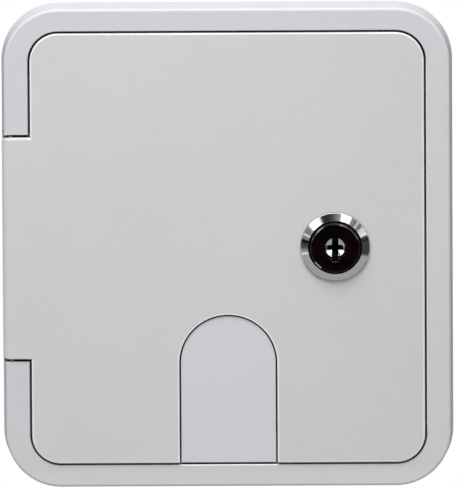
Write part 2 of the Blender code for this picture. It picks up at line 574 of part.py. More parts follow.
def build_lock():
    lx, lz = LOCK_X, LOCK_Z
    flange_back = DOOR_FACE - GAP                          # -11.1
    body_end = 1.2
    # chromed housing: bevelled ring, counterbore for the face, threaded barrel
    body = turned("lock_body", [
        (RING_R, flange_back), (RING_R, -11.8), (RING_R - 0.12, -11.95),
        (RING_IN_R + 0.45, -13.2), (RING_IN_R + 0.12, -13.26), (RING_IN_R, -13.1),
        (RING_IN_R, -12.3), (PLUG_R + GAP, -12.3), (PLUG_R + GAP, body_end),
        (BARREL_THREAD_R, body_end), (BARREL_THREAD_R, -11.1),
        (10.0, -11.1), (10.0, -11.8), (11.9, -11.8), (11.9, flange_back)],
        lx, lz, n=48)
    for s in (-1, 1):
        z0, z1 = sorted((s * BARREL_FLAT, s * 11.0))
        cut(body, block("flat", lx - 12, lx + 12, flange_back + 0.1, body_end + 1,
                        lz + z0, lz + z1))
    dress(body, CHROME, angle=25, pivot=door_axis)

    # rubber ring in the groove under the flange
    seal = turned("lock_seal", [(10.3, -11.1), (11.6, -11.1), (11.6, -11.35),
                                (11.35, -11.5), (10.55, -11.5), (10.3, -11.35)],
                  lx, lz, n=32)
    dress(seal, RUBBER, pivot=door_axis)

    # black cap that covers the front of the housing, with a notch in its
    # bore above and below the keyway
    face = turned("lock_face", [
        (9.4, -12.6), (9.4, -12.95), (9.22, -13.1), (9.22, -14.35), (9.08, -14.52),
        (8.66, -14.7),
        (PLUG_R + GAP + 0.25, -14.7), (PLUG_R + GAP, -14.5),
        (PLUG_R + GAP, -12.6)], lx, lz, n=48)
    cut(face, block("notch", lx - KEYWAY_W / 2, lx + KEYWAY_W / 2, -15.5, -13.2,
                    lz - 5.0, lz + 5.0))
    dress(face, BLACK_GLOSS, angle=25, pivot=door_axis)

    # key plug: dished head, cross-shaped keyway, square tail for the cam
    plug = turned("key_plug", [
        (0.0, -11.97), (3.45, -13.35), (3.65, -13.38), (3.8, -13.2),
        (3.8, 1.5), (0.0, 1.5)], lx, lz, n=28)
    join(plug, block("tail", lx - 2.75, lx + 2.75, 0.5, 3.95, lz - 2.75, lz + 2.75))
    cut(plug, block("keyway", lx - KEYWAY_W / 2, lx + KEYWAY_W / 2, -15.0, -11.4,
                    lz - 5.0, lz + 5.0))
    cut(plug, block("keyway", lx - 2.9, lx + 2.9, -15.0, -11.2,
                    lz - KEYWAY_ARM, lz + KEYWAY_ARM))
    for w, h in ((0.9, 2.3), (2.3, 0.9)):
        cut(plug, block("keyway", lx - w, lx + w, -12.0, -2.6, lz - h, lz + h))
    for k, (dx, dz) in enumerate(TUMBLER_WAYS):
        start = (lx + (-5.0 if dx < 0 else 1.6 if dx > 0 else 0.0), tumbler_y(k),
                 lz + (-5.0 if dz < 0 else 1.6 if dz > 0 else 0.0))
        cut(plug, rod("bore", "X" if dx else "Z", start, 3.4, 0.8, n=12))
    cut(plug, rod("thread", "Y", (lx, -1.6, lz), 8.0, 2.0, n=16))
    dress(plug, SILVER, angle=30, pivot=plug_axis)

    # tumbler pins: one in each of four radial bores, round end to the key
    for k, (dx, dz) in enumerate(TUMBLER_WAYS):
        inner, length = 2.45, 1.3
        start = (lx + (-(inner + length) if dx < 0 else inner if dx > 0 else 0.0),
                 tumbler_y(k),
                 lz + (-(inner + length) if dz < 0 else inner if dz > 0 else 0.0))
        outward = dx + dz > 0
        pin = rod("tumbler_pin_%d" % (k + 1), "X" if dx else "Z", start, length,
                  0.3 if outward else 0.48, 0.48 if outward else 0.3, n=12)
        dress(pin, BRASS, pivot=plug_axis)

    # hexagon nut and washer that clamp the housing to the panel
    nut_y0, nut_y1 = -7.2, -3.9
    nut = rod("lock_nut", "Y", (lx, nut_y0, lz), nut_y1 - nut_y0, 13.2, n=6)
    cut(nut, rod("bore", "Y", (lx, nut_y0 - 1, lz), 6.0, BARREL_THREAD_R + GAP,
                 n=ROUND))
    dress(nut, ZINC, pivot=door_axis)
    washer = turned("lock_washer", [(BARREL_THREAD_R + GAP, -8.0), (13.0, -8.0),
                                    (13.0, -7.5), (BARREL_THREAD_R + GAP, -7.5)],
                    lx, lz, n=ROUND)
    dress(washer, STEEL, pivot=door_axis)

    # cam: rounded at the pivot, straight to a radiused tip, standing upright
    y0 = 1.8
    outline = [(lx + x, lz + z) for x, z in arc(8.0, 180, 360, 16)]
    outline += [(lx + CAM_HALF_W, lz + 7.0),
                (lx + CAM_HALF_W, lz + CAM_REACH - 2.0),
                (lx + CAM_HALF_W - 0.6, lz + CAM_REACH - 0.6),
                (lx + CAM_HALF_W - 2.0, lz + CAM_REACH),
                (lx - CAM_HALF_W + 2.0, lz + CAM_REACH),
                (lx - CAM_HALF_W + 0.6, lz + CAM_REACH - 0.6),
                (lx - CAM_HALF_W, lz + CAM_REACH - 2.0),
                (lx - CAM_HALF_W, lz + 7.0)]
    cam = prism("cam", outline, y0, y0 + CAM_T)
    cut(cam, block("square", lx - 3.05, lx + 3.05, y0 - 1, y0 + CAM_T + 1,
                   lz - 3.05, lz + 3.05))
    dress(cam, ZINC, pivot=plug_axis)
    cam_washer = turned("cam_washer", [(2.1, 4.25), (5.2, 4.25), (5.2, 4.95),
                                       (2.1, 4.95)], lx, lz, n=24)
    dress(cam_washer, STEEL, pivot=plug_axis)
    screw = turned("cam_screw", [(0.0, -1.2), (1.7, -1.2), (1.7, 5.25),
                                 (3.6, 5.25), (3.6, 6.5), (2.9, 7.2), (0.0, 7.4)],
                   lx, lz, n=20)
    for w, h in ((0.5, 2.0), (2.0, 0.5)):
        cut(screw, block("cross", lx - w, lx + w, 6.1, 8.5, lz - h, lz + h))
    dress(screw, STEEL, pivot=plug_axis)


build_frame()
build_gasket()
build_door_seal()
build_door()
build_flap()
build_flap_seal()
build_flap_pin()
build_flap_spring()
build_hinge_pin("hinge_pin_upper", 1)
build_hinge_pin("hinge_pin_lower", -1)
for index, (side_x, side_z) in enumerate(((-1, 1), (1, 1), (-1, -1), (1, -1))):
    build_mounting_screw("mounting_screw_%d" % (index + 1), side_x, side_z)
build_lock()
bpy.context.view_layer.update()
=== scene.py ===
import math

import bmesh
import bpy
from mathutils import Matrix, Vector


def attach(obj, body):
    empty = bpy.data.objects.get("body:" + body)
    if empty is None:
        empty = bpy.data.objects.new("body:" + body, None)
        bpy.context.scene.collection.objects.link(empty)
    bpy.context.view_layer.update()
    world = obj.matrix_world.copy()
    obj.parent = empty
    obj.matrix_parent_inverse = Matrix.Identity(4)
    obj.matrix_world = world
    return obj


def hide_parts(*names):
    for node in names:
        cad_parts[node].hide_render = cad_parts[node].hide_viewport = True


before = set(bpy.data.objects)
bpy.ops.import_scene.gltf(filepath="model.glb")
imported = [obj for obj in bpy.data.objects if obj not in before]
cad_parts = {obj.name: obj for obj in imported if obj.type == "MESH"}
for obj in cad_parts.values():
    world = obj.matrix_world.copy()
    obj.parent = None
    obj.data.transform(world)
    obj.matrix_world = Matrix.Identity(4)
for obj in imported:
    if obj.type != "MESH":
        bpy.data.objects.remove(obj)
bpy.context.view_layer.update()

# Power cord hatch for a caravan wall, closed, seen from the front and slightly
# above.  Lengths below are in millimetres in the frame of the part: X to the
# right, Y into the wall, Z up.
MM = 0.001
GAP = 0.3

FRAME_HX, FRAME_HZ, FRAME_R = 82.5, 90.1, 21.1
FRAME_BACK, FRAME_FACE = -1.5, -10.0
FRAME_LIP = -0.2
FRAME_DRAFT, FRAME_FILLET = 0.85, 1.1
RECESS_HX, RECESS_HZ, RECESS_R = 72.85, 81.0, 11.25
LEDGE_Y = -3.5
MOUTH_HX, MOUTH_HZ, MOUTH_R = 64.5, 72.5, 17.5
SLEEVE_T, SLEEVE_END = 2.5, 30.0
WALL_T = 2.2
CHANNEL_TOP = -7.8
EAR_WEB = 3.2

DOOR_HX, DOOR_HZ, DOOR_R = 72.1, 80.27, 10.5
DOOR_FACE, DOOR_SKIN, DOOR_FILLET = -10.8, 2.5, 0.55
RIM_INSET, RIM_W, RIM_BACK = 0.5, 2.0, -5.5
RIB_BACK = -6.6
HINGE_X, HINGE_Y, BARREL_R = -79.3, -7.6, 3.2
TAB_HZ, TAB_TOP_R, TAB_LOW_R = 41.35, 1.15, 0.35
TAB_Z = 0.26
WINDOW_HZ = 42.4
HINGE_PIN_R, HINGE_PIN_LEN = 1.1, 20.0

NOTCH_HX, FLAP_HX, ARCH_Z = 17.98, 17.42, -42.8
FLAP_FACE, FLAP_BACK, FLAP_BOTTOM = -10.0, -6.75, -80.2
SEAL_HX, SEAL_IN_HX, SEAL_LOW, SEAL_FRONT, SEAL_BACK = 19.4, 15.0, -69.5, -7.9, -5.7
FLAP_PIN_Y, FLAP_PIN_Z, FLAP_PIN_R = -6.0, -75.6, 1.0
KNUCKLE_R, KNUCKLE_IN, KNUCKLE_OUT = 2.0, 8.0, 16.9
EAR_IN, EAR_OUT = 20.4, 23.4
SPRING_WIRE_R, SPRING_COIL_R, SPRING_TURNS, SPRING_HALF = 0.28, 1.62, 9, 6.2

LOCK_X, LOCK_Z = 39.4, 0.67
RING_R, RING_IN_R = 12.7, 9.75
BARREL_THREAD_R, BARREL_FLAT = 9.3, 8.0
PLUG_R, KEYWAY_W, KEYWAY_ARM = 3.8, 2.4, 0.95
CAM_REACH, CAM_HALF_W, CAM_T = 22.0, 6.0, 2.0

SCREW_X, SCREW_Z = 64.5, 72.7
SCREW_HEAD_R, SCREW_HEAD_H, SCREW_SHANK_R, SCREW_LEN = 3.5, 2.0, 1.6, 15.0

CORNER = 22


# ---------------------------------------------------------------------------
# camera
# ---------------------------------------------------------------------------
PHOTO_W, PHOTO_H = 458, 488
MM_PER_PX = 0.3664
VIEW_AZ, VIEW_EL, VIEW_ROLL = 0.3, 11.3, 0.33
CENTRE_PX = (227.65, 248.4)          # where the middle of the door's face shows
LENS = 1500.0


def make_camera():
    data = bpy.data.cameras.new("camera")
    data.lens = LENS
    data.sensor_width = 36.0
    data.sensor_fit = "AUTO"
    data.dof.use_dof = False
    cam = bpy.data.objects.new("camera", data)
    bpy.context.scene.collection.objects.link(cam)
    a, e = math.radians(VIEW_AZ), math.radians(VIEW_EL)
    back = Vector((math.sin(a) * math.cos(e), -math.cos(a) * math.cos(e), math.sin(e)))
    turn = (-back).to_track_quat("-Z", "Y") @ Matrix.Rotation(
        -math.radians(VIEW_ROLL), 3, "Z").to_quaternion()
    right, up = turn @ Vector((1, 0, 0)), turn @ Vector((0, 1, 0))
    scale = MM_PER_PX * MM
    aim = (Vector((0, -10.4 * MM, 0))
           + right * (PHOTO_W / 2 - CENTRE_PX[0]) * scale
           - up * (PHOTO_H / 2 - CENTRE_PX[1]) * scale)
    distance = PHOTO_H * scale * LENS / 36.0
    cam.rotation_mode = "QUATERNION"
    cam.rotation_quaternion = turn
    cam.location = aim + back * distance
    data.clip_start, data.clip_end = 0.05, 60.0
    bpy.context.scene.camera = cam


make_camera()


# ---------------------------------------------------------------------------
# mesh helpers
# ---------------------------------------------------------------------------
def finish_mesh(bm, name):
    bmesh.ops.recalc_face_normals(bm, faces=bm.faces)
    bmesh.ops.scale(bm, vec=(MM, MM, MM), verts=bm.verts)
    mesh = bpy.data.meshes.new(name)
    bm.to_mesh(mesh)
    bm.free()
    return mesh


def solid(name, mesh):
    obj = bpy.data.objects.new(name, mesh)
    bpy.context.scene.collection.objects.link(obj)
    return obj


def rounded(hx, hz, r, n=None):
    """Points (x, z) of a rounded rectangle, counter-clockwise from the right."""
    n = CORNER if n is None else n
    pts = []
    for k, (sx, sz) in enumerate(((1, 1), (-1, 1), (-1, -1), (1, -1))):
        for i in range(n + 1):
            a = math.pi / 2 * (k + i / n)
            pts.append((sx * (hx - r) + r * math.cos(a),
                        sz * (hz - r) + r * math.sin(a)))
    return pts


def rect_ring(hx, hz, r, y, n=None):
    return [(x, y, z) for x, z in rounded(hx, hz, r, n)]


def edge_rings(base, y, radius, start, end, n):
    """Rings over a rounded edge.  base is (hx, hz, r) of the rectangle through
    the arc's centre, and the angles run from 0 = outward to 90 = backward."""
    rings = []
    for i in range(n + 1):
        a = math.radians(start + (end - start) * i / n)
        c = radius * math.cos(a)
        rings.append((base[0] + c, base[1] + c, base[2] + c, y + radius * math.sin(a)))
    return rings


def grown(base, d):
    return (base[0] + d, base[1] + d, base[2] + d)


def loft(name, rings, cycle=False):
    bm = bmesh.new()
    loops = [[bm.verts.new(p) for p in ring] for ring in rings]
    count = len(loops[0])
    pairs = list(zip(loops, loops[1:]))
    if cycle:
        pairs.append((loops[-1], loops[0]))
    for a, b in pairs:
        for i in range(count):
            j = (i + 1) % count
            bm.faces.new((a[i], a[j], b[j], b[i]))
    if not cycle:
        bm.faces.new(loops[0])
        bm.faces.new(list(reversed(loops[-1])))
    return solid(name, finish_mesh(bm, name))


def prism(name, outline, y0, y1):
    bm = bmesh.new()
    face = bm.faces.new([bm.verts.new((x, y0, z)) for x, z in outline])
    out = bmesh.ops.extrude_face_region(bm, geom=[face])
    moved = [e for e in out["geom"] if isinstance(e, bmesh.types.BMVert)]
    bmesh.ops.translate(bm, vec=(0, y1 - y0, 0), verts=moved)
    return solid(name, finish_mesh(bm, name))


def block(name, x0, x1, y0, y1, z0, z1):
    bm = bmesh.new()
    bmesh.ops.create_cube(bm, size=1.0)
    bmesh.ops.scale(bm, vec=(x1 - x0, y1 - y0, z1 - z0), verts=bm.verts)
    bmesh.ops.translate(bm, vec=((x0 + x1) / 2, (y0 + y1) / 2, (z0 + z1) / 2),
                        verts=bm.verts)
    return solid(name, finish_mesh(bm, name))


AXIS_TURN = {
    "X": Matrix.Rotation(math.pi / 2, 4, "Y"),
    "Y": Matrix.Rotation(-math.pi / 2, 4, "X"),
    "Z": Matrix.Identity(4),
}


def rod(name, axis, start, length, r0, r1=None, n=32):
    bm = bmesh.new()
    bmesh.ops.create_cone(bm, cap_ends=True, segments=n, radius1=r0,
                          radius2=r0 if r1 is None else r1, depth=length)
    bmesh.ops.translate(bm, vec=(0, 0, length / 2), verts=bm.verts)
    bmesh.ops.transform(bm, matrix=AXIS_TURN[axis], verts=bm.verts)
    bmesh.ops.translate(bm, vec=start, verts=bm.verts)
    return solid(name, finish_mesh(bm, name))


def softened(points, segs=4, closed=True):
    """Round the corners of an outline of (u, v) or (u, v, radius) points."""
    out = []
    n = len(points)
    for i, point in enumerate(points):
        q = Vector(point[:2])
        r = point[2] if len(point) > 2 else 0.0
        if r <= 0.0 or (not closed and i in (0, n - 1)):
            out.append((q.x, q.y))
            continue
        p, s = Vector(points[i - 1][:2]), Vector(points[(i + 1) % n][:2])
        a, b = (p - q).normalized(), (s - q).normalized()
        half = a.angle(b) / 2
        t = min(r / math.tan(half), 0.48 * min((p - q).length, (s - q).length))
        r = t * math.tan(half)
        centre = q + (a + b).normalized() * (r / math.sin(half))
        first, last = q + a * t - centre, q + b * t - centre
        a0, a1 = math.atan2(first.y, first.x), math.atan2(last.y, last.x)
        d = (a1 - a0 + math.pi) % math.tau - math.pi
        for k in range(segs + 1):
            w = a0 + d * k / segs
            out.append((centre.x + r * math.cos(w), centre.y + r * math.sin(w)))
    return out


def turned(name, profile, cx, cz, n=96, closed=True, shape=None, axis="Y"):
    """Spin a profile of (radius, y); shape may move each point (x, y, z)."""
    bm = bmesh.new()
    rings = []
    for r, y in profile:
        if r <= 1e-9:
            rings.append([bm.verts.new((cx, y, cz))])
            continue
        ring = []
        for i in range(n):
            a = math.tau * i / n
            p = (r * math.cos(a), y, r * math.sin(a))
            if shape is not None:
                p = shape(p[0], p[1], p[2], r, a)
            ring.append(bm.verts.new((cx + p[0], p[1], cz + p[2])))
        rings.append(ring)
    pairs = list(zip(rings, rings[1:]))
    if closed:
        pairs.append((rings[-1], rings[0]))
    for a, b in pairs:
        if len(a) == 1 and len(b) == 1:
            continue
        for i in range(n):
            j = (i + 1) % n
            if len(a) == 1:
                bm.faces.new((a[0], b[j], b[i]))
            elif len(b) == 1:
                bm.faces.new((a[i], a[j], b[0]))
            else:
                bm.faces.new((a[i], a[j], b[j], b[i]))
    return solid(name, finish_mesh(bm, name))


def boolean(obj, tool, operation):
    mod = obj.modifiers.new("boolean", "BOOLEAN")
    mod.operation = operation
    mod.solver = "EXACT"
    mod.object = tool
    bpy.context.view_layer.update()
    graph = bpy.context.evaluated_depsgraph_get()
    mesh = bpy.data.meshes.new_from_object(obj.evaluated_get(graph))
    obj.modifiers.clear()
    obj.data = mesh
    bpy.data.objects.remove(tool, do_unlink=True)
    return obj


def cut(obj, *tools):
    for tool in tools:
        boolean(obj, tool, "DIFFERENCE")
    return obj


def join(obj, *tools):
    for tool in tools:
        boolean(obj, tool, "UNION")
    return obj


def bevel_edges(obj, chosen, width, segments=3):
    """Round the sharp edges for which chosen(middle point in mm, direction)."""
    bm = bmesh.new()
    bm.from_mesh(obj.data)
    bmesh.ops.remove_doubles(bm, verts=bm.verts, dist=1e-7)
    edges = []
    for e in bm.edges:
        if len(e.link_faces) != 2 or e.calc_face_angle(0.0) < math.radians(28):
            continue
        mid = (e.verts[0].co + e.verts[1].co) / 2 / MM
        if chosen(mid, (e.verts[1].co - e.verts[0].co).normalized()):
            edges.append(e)
    if edges:
        bmesh.ops.bevel(bm, geom=edges, offset=width * MM, offset_type="OFFSET",
                        segments=segments, profile=0.5, affect="EDGES",
                        clamp_overlap=True, material=-1)
    bm.to_mesh(obj.data)
    bm.free()
    return obj


def arc(r, start, end, n):
    return [(r * math.cos(math.radians(start + (end - start) * i / n)),
             r * math.sin(math.radians(start + (end - start) * i / n)))
            for i in range(n + 1)]


def dress(obj, mat, body, node, angle=32.0, weighted=True):
    """Give a piece its finish and let it stand for its CAD node."""
    obj.data.materials.clear()
    obj.data.materials.append(mat)
    obj.data.shade_smooth()
    obj.data.set_sharp_from_angle(angle=math.radians(angle))
    if weighted:
        mod = obj.modifiers.new("weighted_normals", "WEIGHTED_NORMAL")
        mod.mode = "FACE_AREA_WITH_ANGLE"
        mod.weight = 100
        mod.keep_sharp = True
    obj.name = "look_" + node
    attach(obj, body)
    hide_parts(node)
    return obj


# ---------------------------------------------------------------------------
# materials
# ---------------------------------------------------------------------------
class Nodes:
    """Short calls that add and link the nodes of one shader."""

    def __init__(self, tree):
        self.tree = tree

    def add(self, kind, **values):
        node = self.tree.nodes.new(kind)
        for key, value in values.items():
            setattr(node, key, value)
        return node

    def link(self, source, target):
        if isinstance(source, (int, float, tuple)):
            target.default_value = source
        else:
            self.tree.links.new(source, target)

    def maths(self, operation, a, b=None, c=None, clamp=False):
        node = self.add("ShaderNodeMath", operation=operation, use_clamp=clamp)
        for value, socket in zip((a, b, c), node.inputs):
            if value is not None:
                self.link(value, socket)
        return node.outputs[0]

    def spread(self, value, low, high, to_low=0.0, to_high=1.0, smooth=True):
        node = self.add("ShaderNodeMapRange",
                        interpolation_type="SMOOTHSTEP" if smooth else "LINEAR")
        for socket, v in zip(node.inputs, (value, low, high, to_low, to_high)):
            self.link(v, socket)
        return node.outputs[0]

    def noise(self, vector, scale, detail=2.0, roughness=0.5, distortion=0.0):
        node = self.add("ShaderNodeTexNoise")
        self.link(vector, node.inputs["Vector"])
        node.inputs["Scale"].default_value = scale
        node.inputs["Detail"].default_value = detail
        node.inputs["Roughness"].default_value = roughness
        node.inputs["Distortion"].default_value = distortion
        return node.outputs["Fac"]

    def line_noise(self, w, scale, detail=2.0):
        node = self.add("ShaderNodeTexNoise", noise_dimensions="1D")
        self.link(w, node.inputs["W"])
        node.inputs["Scale"].default_value = scale
        node.inputs["Detail"].default_value = detail
        return node.outputs["Fac"]

    def mix(self, factor, a, b):
        node = self.add("ShaderNodeMix", data_type="RGBA")
        self.link(factor, node.inputs[0])
        self.link(a, node.inputs[6])
        self.link(b, node.inputs[7])
        return node.outputs[2]

    def bump(self, height, distance, strength=1.0, normal=None):
        node = self.add("ShaderNodeBump")
        node.inputs["Strength"].default_value = strength
        node.inputs["Distance"].default_value = distance
        self.link(height, node.inputs["Height"])
        if normal is not None:
            self.link(normal, node.inputs["Normal"])
        return node.outputs["Normal"]


def shader_of(name):
    mat = bpy.data.materials.new(name)
    mat.use_nodes = True
    shader = mat.node_tree.nodes["Principled BSDF"]
    return mat, shader, Nodes(mat.node_tree)


def rgba(colour, factor=1.0):
    return (colour[0] * factor, colour[1] * factor, colour[2] * factor, 1.0)


def edge_mask(g, width_mm, low=0.02, high=0.35):
    """1 on outer edges, 0 on flat surfaces, from the rounded normal."""
    bevel = g.add("ShaderNodeBevel", samples=4)
    bevel.inputs["Radius"].default_value = width_mm * MM
    geometry = g.add("ShaderNodeNewGeometry")
    dot = g.add("ShaderNodeVectorMath", operation="DOT_PRODUCT")
    g.link(bevel.outputs["Normal"], dot.inputs[0])
    g.link(geometry.outputs["Normal"], dot.inputs[1])
    return g.spread(g.maths("SUBTRACT", 1.0, dot.outputs["Value"]), low, high)


def inside(g, parts, box):
    """1 inside a box of (low, high, softness) spans in millimetres, else 0."""
    mask = 1.0
    for output, span in zip(parts.outputs, box):
        if span is None:
            continue
        low, high, soft = span
        mask = g.maths("MULTIPLY", mask, g.spread(output, low * MM, (low + soft) * MM))
        mask = g.maths("MULTIPLY", mask, g.spread(output, high * MM, (high - soft) * MM))
    return mask


def any_of(g, parts, boxes):
    total = 0.0
    for box in boxes:
        total = g.maths("MAXIMUM", total, inside(g, parts, box))
    return total


def edge_highlight_line(g, parts):
    """1 on a narrow line along the door's side and lower edges and round its
    notch, the painted highlight along the rounded corner of the moulding."""
    x, z = parts.outputs[0], parts.outputs[2]
    wide = g.maths("ABSOLUTE", x)
    above = g.maths("MAXIMUM", g.maths("SUBTRACT", z, ARCH_Z * MM), 0.0)
    reach = g.maths("SQRT", g.maths("MULTIPLY_ADD", x, x, g.maths("MULTIPLY", above, above)))
    away = g.maths("SUBTRACT", reach, NOTCH_HX * MM)
    notch = g.maths("MULTIPLY", g.spread(away, 0.10 * MM, 0.22 * MM),
                    g.spread(away, 0.66 * MM, 0.46 * MM))
    tall = g.maths("MAXIMUM", g.maths("MULTIPLY", z, -1.0), 0.0)
    qx = g.maths("MAXIMUM", g.maths("SUBTRACT", wide, (DOOR_HX - DOOR_R) * MM), 0.0)
    qz = g.maths("MAXIMUM", g.maths("SUBTRACT", tall, (DOOR_HZ - DOOR_R) * MM), 0.0)
    corner = g.maths("SQRT", g.maths("MULTIPLY_ADD", qx, qx, g.maths("MULTIPLY", qz, qz)))
    depth = g.maths("SUBTRACT", corner, DOOR_R * MM)
    rim = g.spread(depth, -0.78 * MM, -0.52 * MM)
    beside_tab = g.maths("MULTIPLY",
                         g.spread(x, -69.0 * MM, -70.0 * MM),
                         g.spread(g.maths("ABSOLUTE", g.maths("SUBTRACT", z, TAB_Z * MM)),
                                  41.8 * MM, 41.4 * MM))
    rim = g.maths("MULTIPLY", rim, g.maths("SUBTRACT", 1.0, beside_tab))
    rim = g.maths("MULTIPLY", rim, g.spread(z, 76.0 * MM, 70.0 * MM))
    return g.maths("MAXIMUM", g.maths("MULTIPLY", notch, 0.80), g.maths("MULTIPLY", rim, 0.62))


def plastic(name, colour, roughness=0.42, grain=0.5, faded=None, specular=0.5,
            highlight_boxes=(), highlight_strength=0.8, shade_boxes=(), line=False):
    """Moulded plastic: fine spark-eroded grain, faint flow marks and specks of
    dust, slightly polished along its edges.  Its colour also carries painted
    light: a pale painted highlight on the rounded edges, painted shade falling
    to near-black in crevices, and of the two lists of boxes, one gives the
    rounded front edges inside it a near-white painted highlight and the other
    paints the hinge gaps near-black as shade."""
    mat, shader, g = shader_of(name)
    place = g.add("ShaderNodeTexCoord").outputs["Object"]
    cloud = g.noise(place, 22.0, 3.0, 0.55)
    flow = g.noise(place, 95.0, 4.0, 0.6, 1.5)
    fine = g.noise(place, 2600.0, 3.0, 0.65)
    pits = g.noise(place, 900.0, 2.0, 0.5)
    dust = g.spread(g.noise(place, 3400.0, 1.0), 0.735, 0.80)
    on_edge = edge_mask(g, 0.35)

    shade = g.maths("MULTIPLY_ADD", g.maths("SUBTRACT", cloud, 0.5), 0.050, 1.0)
    shade = g.maths("MULTIPLY_ADD", g.maths("SUBTRACT", flow, 0.5), 0.035, shade)
    shade = g.maths("MULTIPLY_ADD", g.maths("SUBTRACT", fine, 0.5), 0.050, shade)
    shade = g.maths("MULTIPLY_ADD", dust, -0.10, shade)
    base = g.add("ShaderNodeMix", data_type="RGBA", blend_type="MULTIPLY")
    base.inputs[0].default_value = 1.0
    if faded is None:
        g.link(rgba(colour), base.inputs[6])
    else:
        # weathering: the moulding has faded more low down and to the right
        parts = g.add("ShaderNodeSeparateXYZ")
        g.link(place, parts.inputs[0])
        along_x = g.maths("MULTIPLY", parts.outputs[0], -1.0 / (90.0 * MM))
        along_z = g.maths("MULTIPLY_ADD", parts.outputs[2], 1.0 / (90.0 * MM), along_x)
        weather = g.maths("MULTIPLY_ADD", g.maths("SUBTRACT", cloud, 0.5), 0.3, along_z)
        g.link(g.mix(g.spread(weather, -0.75, 0.95), rgba(faded), rgba(colour)),
               base.inputs[6])
        # the lower border is made lighter towards the bottom
        lighter_low_down = g.spread(parts.outputs[2], -81.5 * MM, -86.0 * MM, 1.0, 1.050)
        shade = g.maths("MULTIPLY", shade, lighter_low_down)
    if line:
        # painted shade: the door darkens towards its right side, the side with the lock
        shade_across = g.add("ShaderNodeSeparateXYZ")
        g.link(place, shade_across.inputs[0])
        shade = g.maths("MULTIPLY", shade, g.spread(shade_across.outputs[0], 12.0 * MM, 66.0 * MM,
                                                    1.0, 0.966, smooth=False))
    joined = g.add("ShaderNodeCombineColor")
    blotch = g.maths("SUBTRACT", g.noise(place, 55.0, 3.0, 0.6, 0.8), 0.5)
    for socket, amount in zip(joined.inputs[:3], (0.095, -0.018, -0.022)):
        g.link(g.maths("MULTIPLY_ADD", blotch, amount, shade), socket)
    g.link(joined.outputs[0], base.inputs[7])
    # painted highlight: the colour is lightened towards pale grey on the rounded edges
    pale = g.mix(g.maths("MULTIPLY", on_edge, 0.32), base.outputs[2], (0.92, 0.92, 0.93, 1))
    # painted shade: the colour falls to near-black where ambient occlusion finds a crevice or gap
    crevice = g.add("ShaderNodeAmbientOcclusion", samples=4)
    crevice.inputs["Distance"].default_value = 1.3 * MM
    unshaded = g.spread(crevice.outputs["AO"], 0.15, 0.62)
    colour_with_painted_light = g.mix(unshaded, (0.090, 0.086, 0.082, 1), pale)
    spot = g.add("ShaderNodeSeparateXYZ")
    g.link(place, spot.inputs[0])
    # painted highlight: inside the listed boxes the rounded front edges are lightened to near-white
    if highlight_boxes:
        turn = g.add("ShaderNodeSeparateXYZ")
        g.link(g.add("ShaderNodeTexCoord").outputs["Normal"], turn.inputs[0])
        ahead = g.maths("MULTIPLY", turn.outputs[1], -1.0)
        rounded_edge = g.maths("MULTIPLY", g.spread(ahead, 0.985, 0.93),
                               g.spread(ahead, 0.15, 0.50))
        uneven_highlight = g.spread(flow, 0.25, 0.60, 0.80, 1.0)
        where = g.maths("MULTIPLY", rounded_edge, any_of(g, spot, highlight_boxes))
        where = g.maths("MULTIPLY", where, g.maths("MULTIPLY", uneven_highlight, highlight_strength))
        # on the door also a painted highlight line along its edges and round its notch
        if line:
            front = g.maths("MULTIPLY", g.spread(ahead, 0.4, 0.7), uneven_highlight)
            where = g.maths("MAXIMUM", where,
                            g.maths("MULTIPLY", edge_highlight_line(g, spot), front))
        colour_with_painted_light = g.mix(where, colour_with_painted_light, (0.955, 0.955, 0.960, 1))
    # painted shade: near-black in the hinge gaps, inside the listed boxes
    if shade_boxes:
        gap_shade = g.maths("MULTIPLY", any_of(g, spot, shade_boxes), 0.92)
        colour_with_painted_light = g.mix(gap_shade, colour_with_painted_light, (0.012, 0.011, 0.010, 1))
    g.link(colour_with_painted_light, shader.inputs["Base Color"])

    rough = g.maths("MULTIPLY_ADD", g.maths("SUBTRACT", flow, 0.5), 0.14, roughness)
    rough = g.maths("MULTIPLY_ADD", g.maths("SUBTRACT", fine, 0.5), 0.10, rough)
    rough = g.maths("MULTIPLY_ADD", on_edge, -0.10, rough)
    g.link(rough, shader.inputs["Roughness"])
    height = g.maths("MULTIPLY_ADD", pits, 0.6, fine)
    normal = g.bump(height, 0.000016, grain)
    normal = g.bump(flow, 0.00004, 0.25, normal)
    g.link(normal, shader.inputs["Normal"])
    shader.inputs["IOR"].default_value = 1.50
    shader.inputs["Specular IOR Level"].default_value = specular
    return mat


def polar(g, place):
    """Distance in metres from the lock's axis, and the angle round it."""
    parts = g.add("ShaderNodeSeparateXYZ")
    g.link(place, parts.inputs[0])
    x = g.maths("SUBTRACT", parts.outputs[0], LOCK_X * MM)
    z = g.maths("SUBTRACT", parts.outputs[2], LOCK_Z * MM)
    radius = g.maths("SQRT", g.maths("MULTIPLY_ADD", x, x, g.maths("MULTIPLY", z, z)))
    return radius, g.maths("ARCTAN2", z, x), parts.outputs[1]


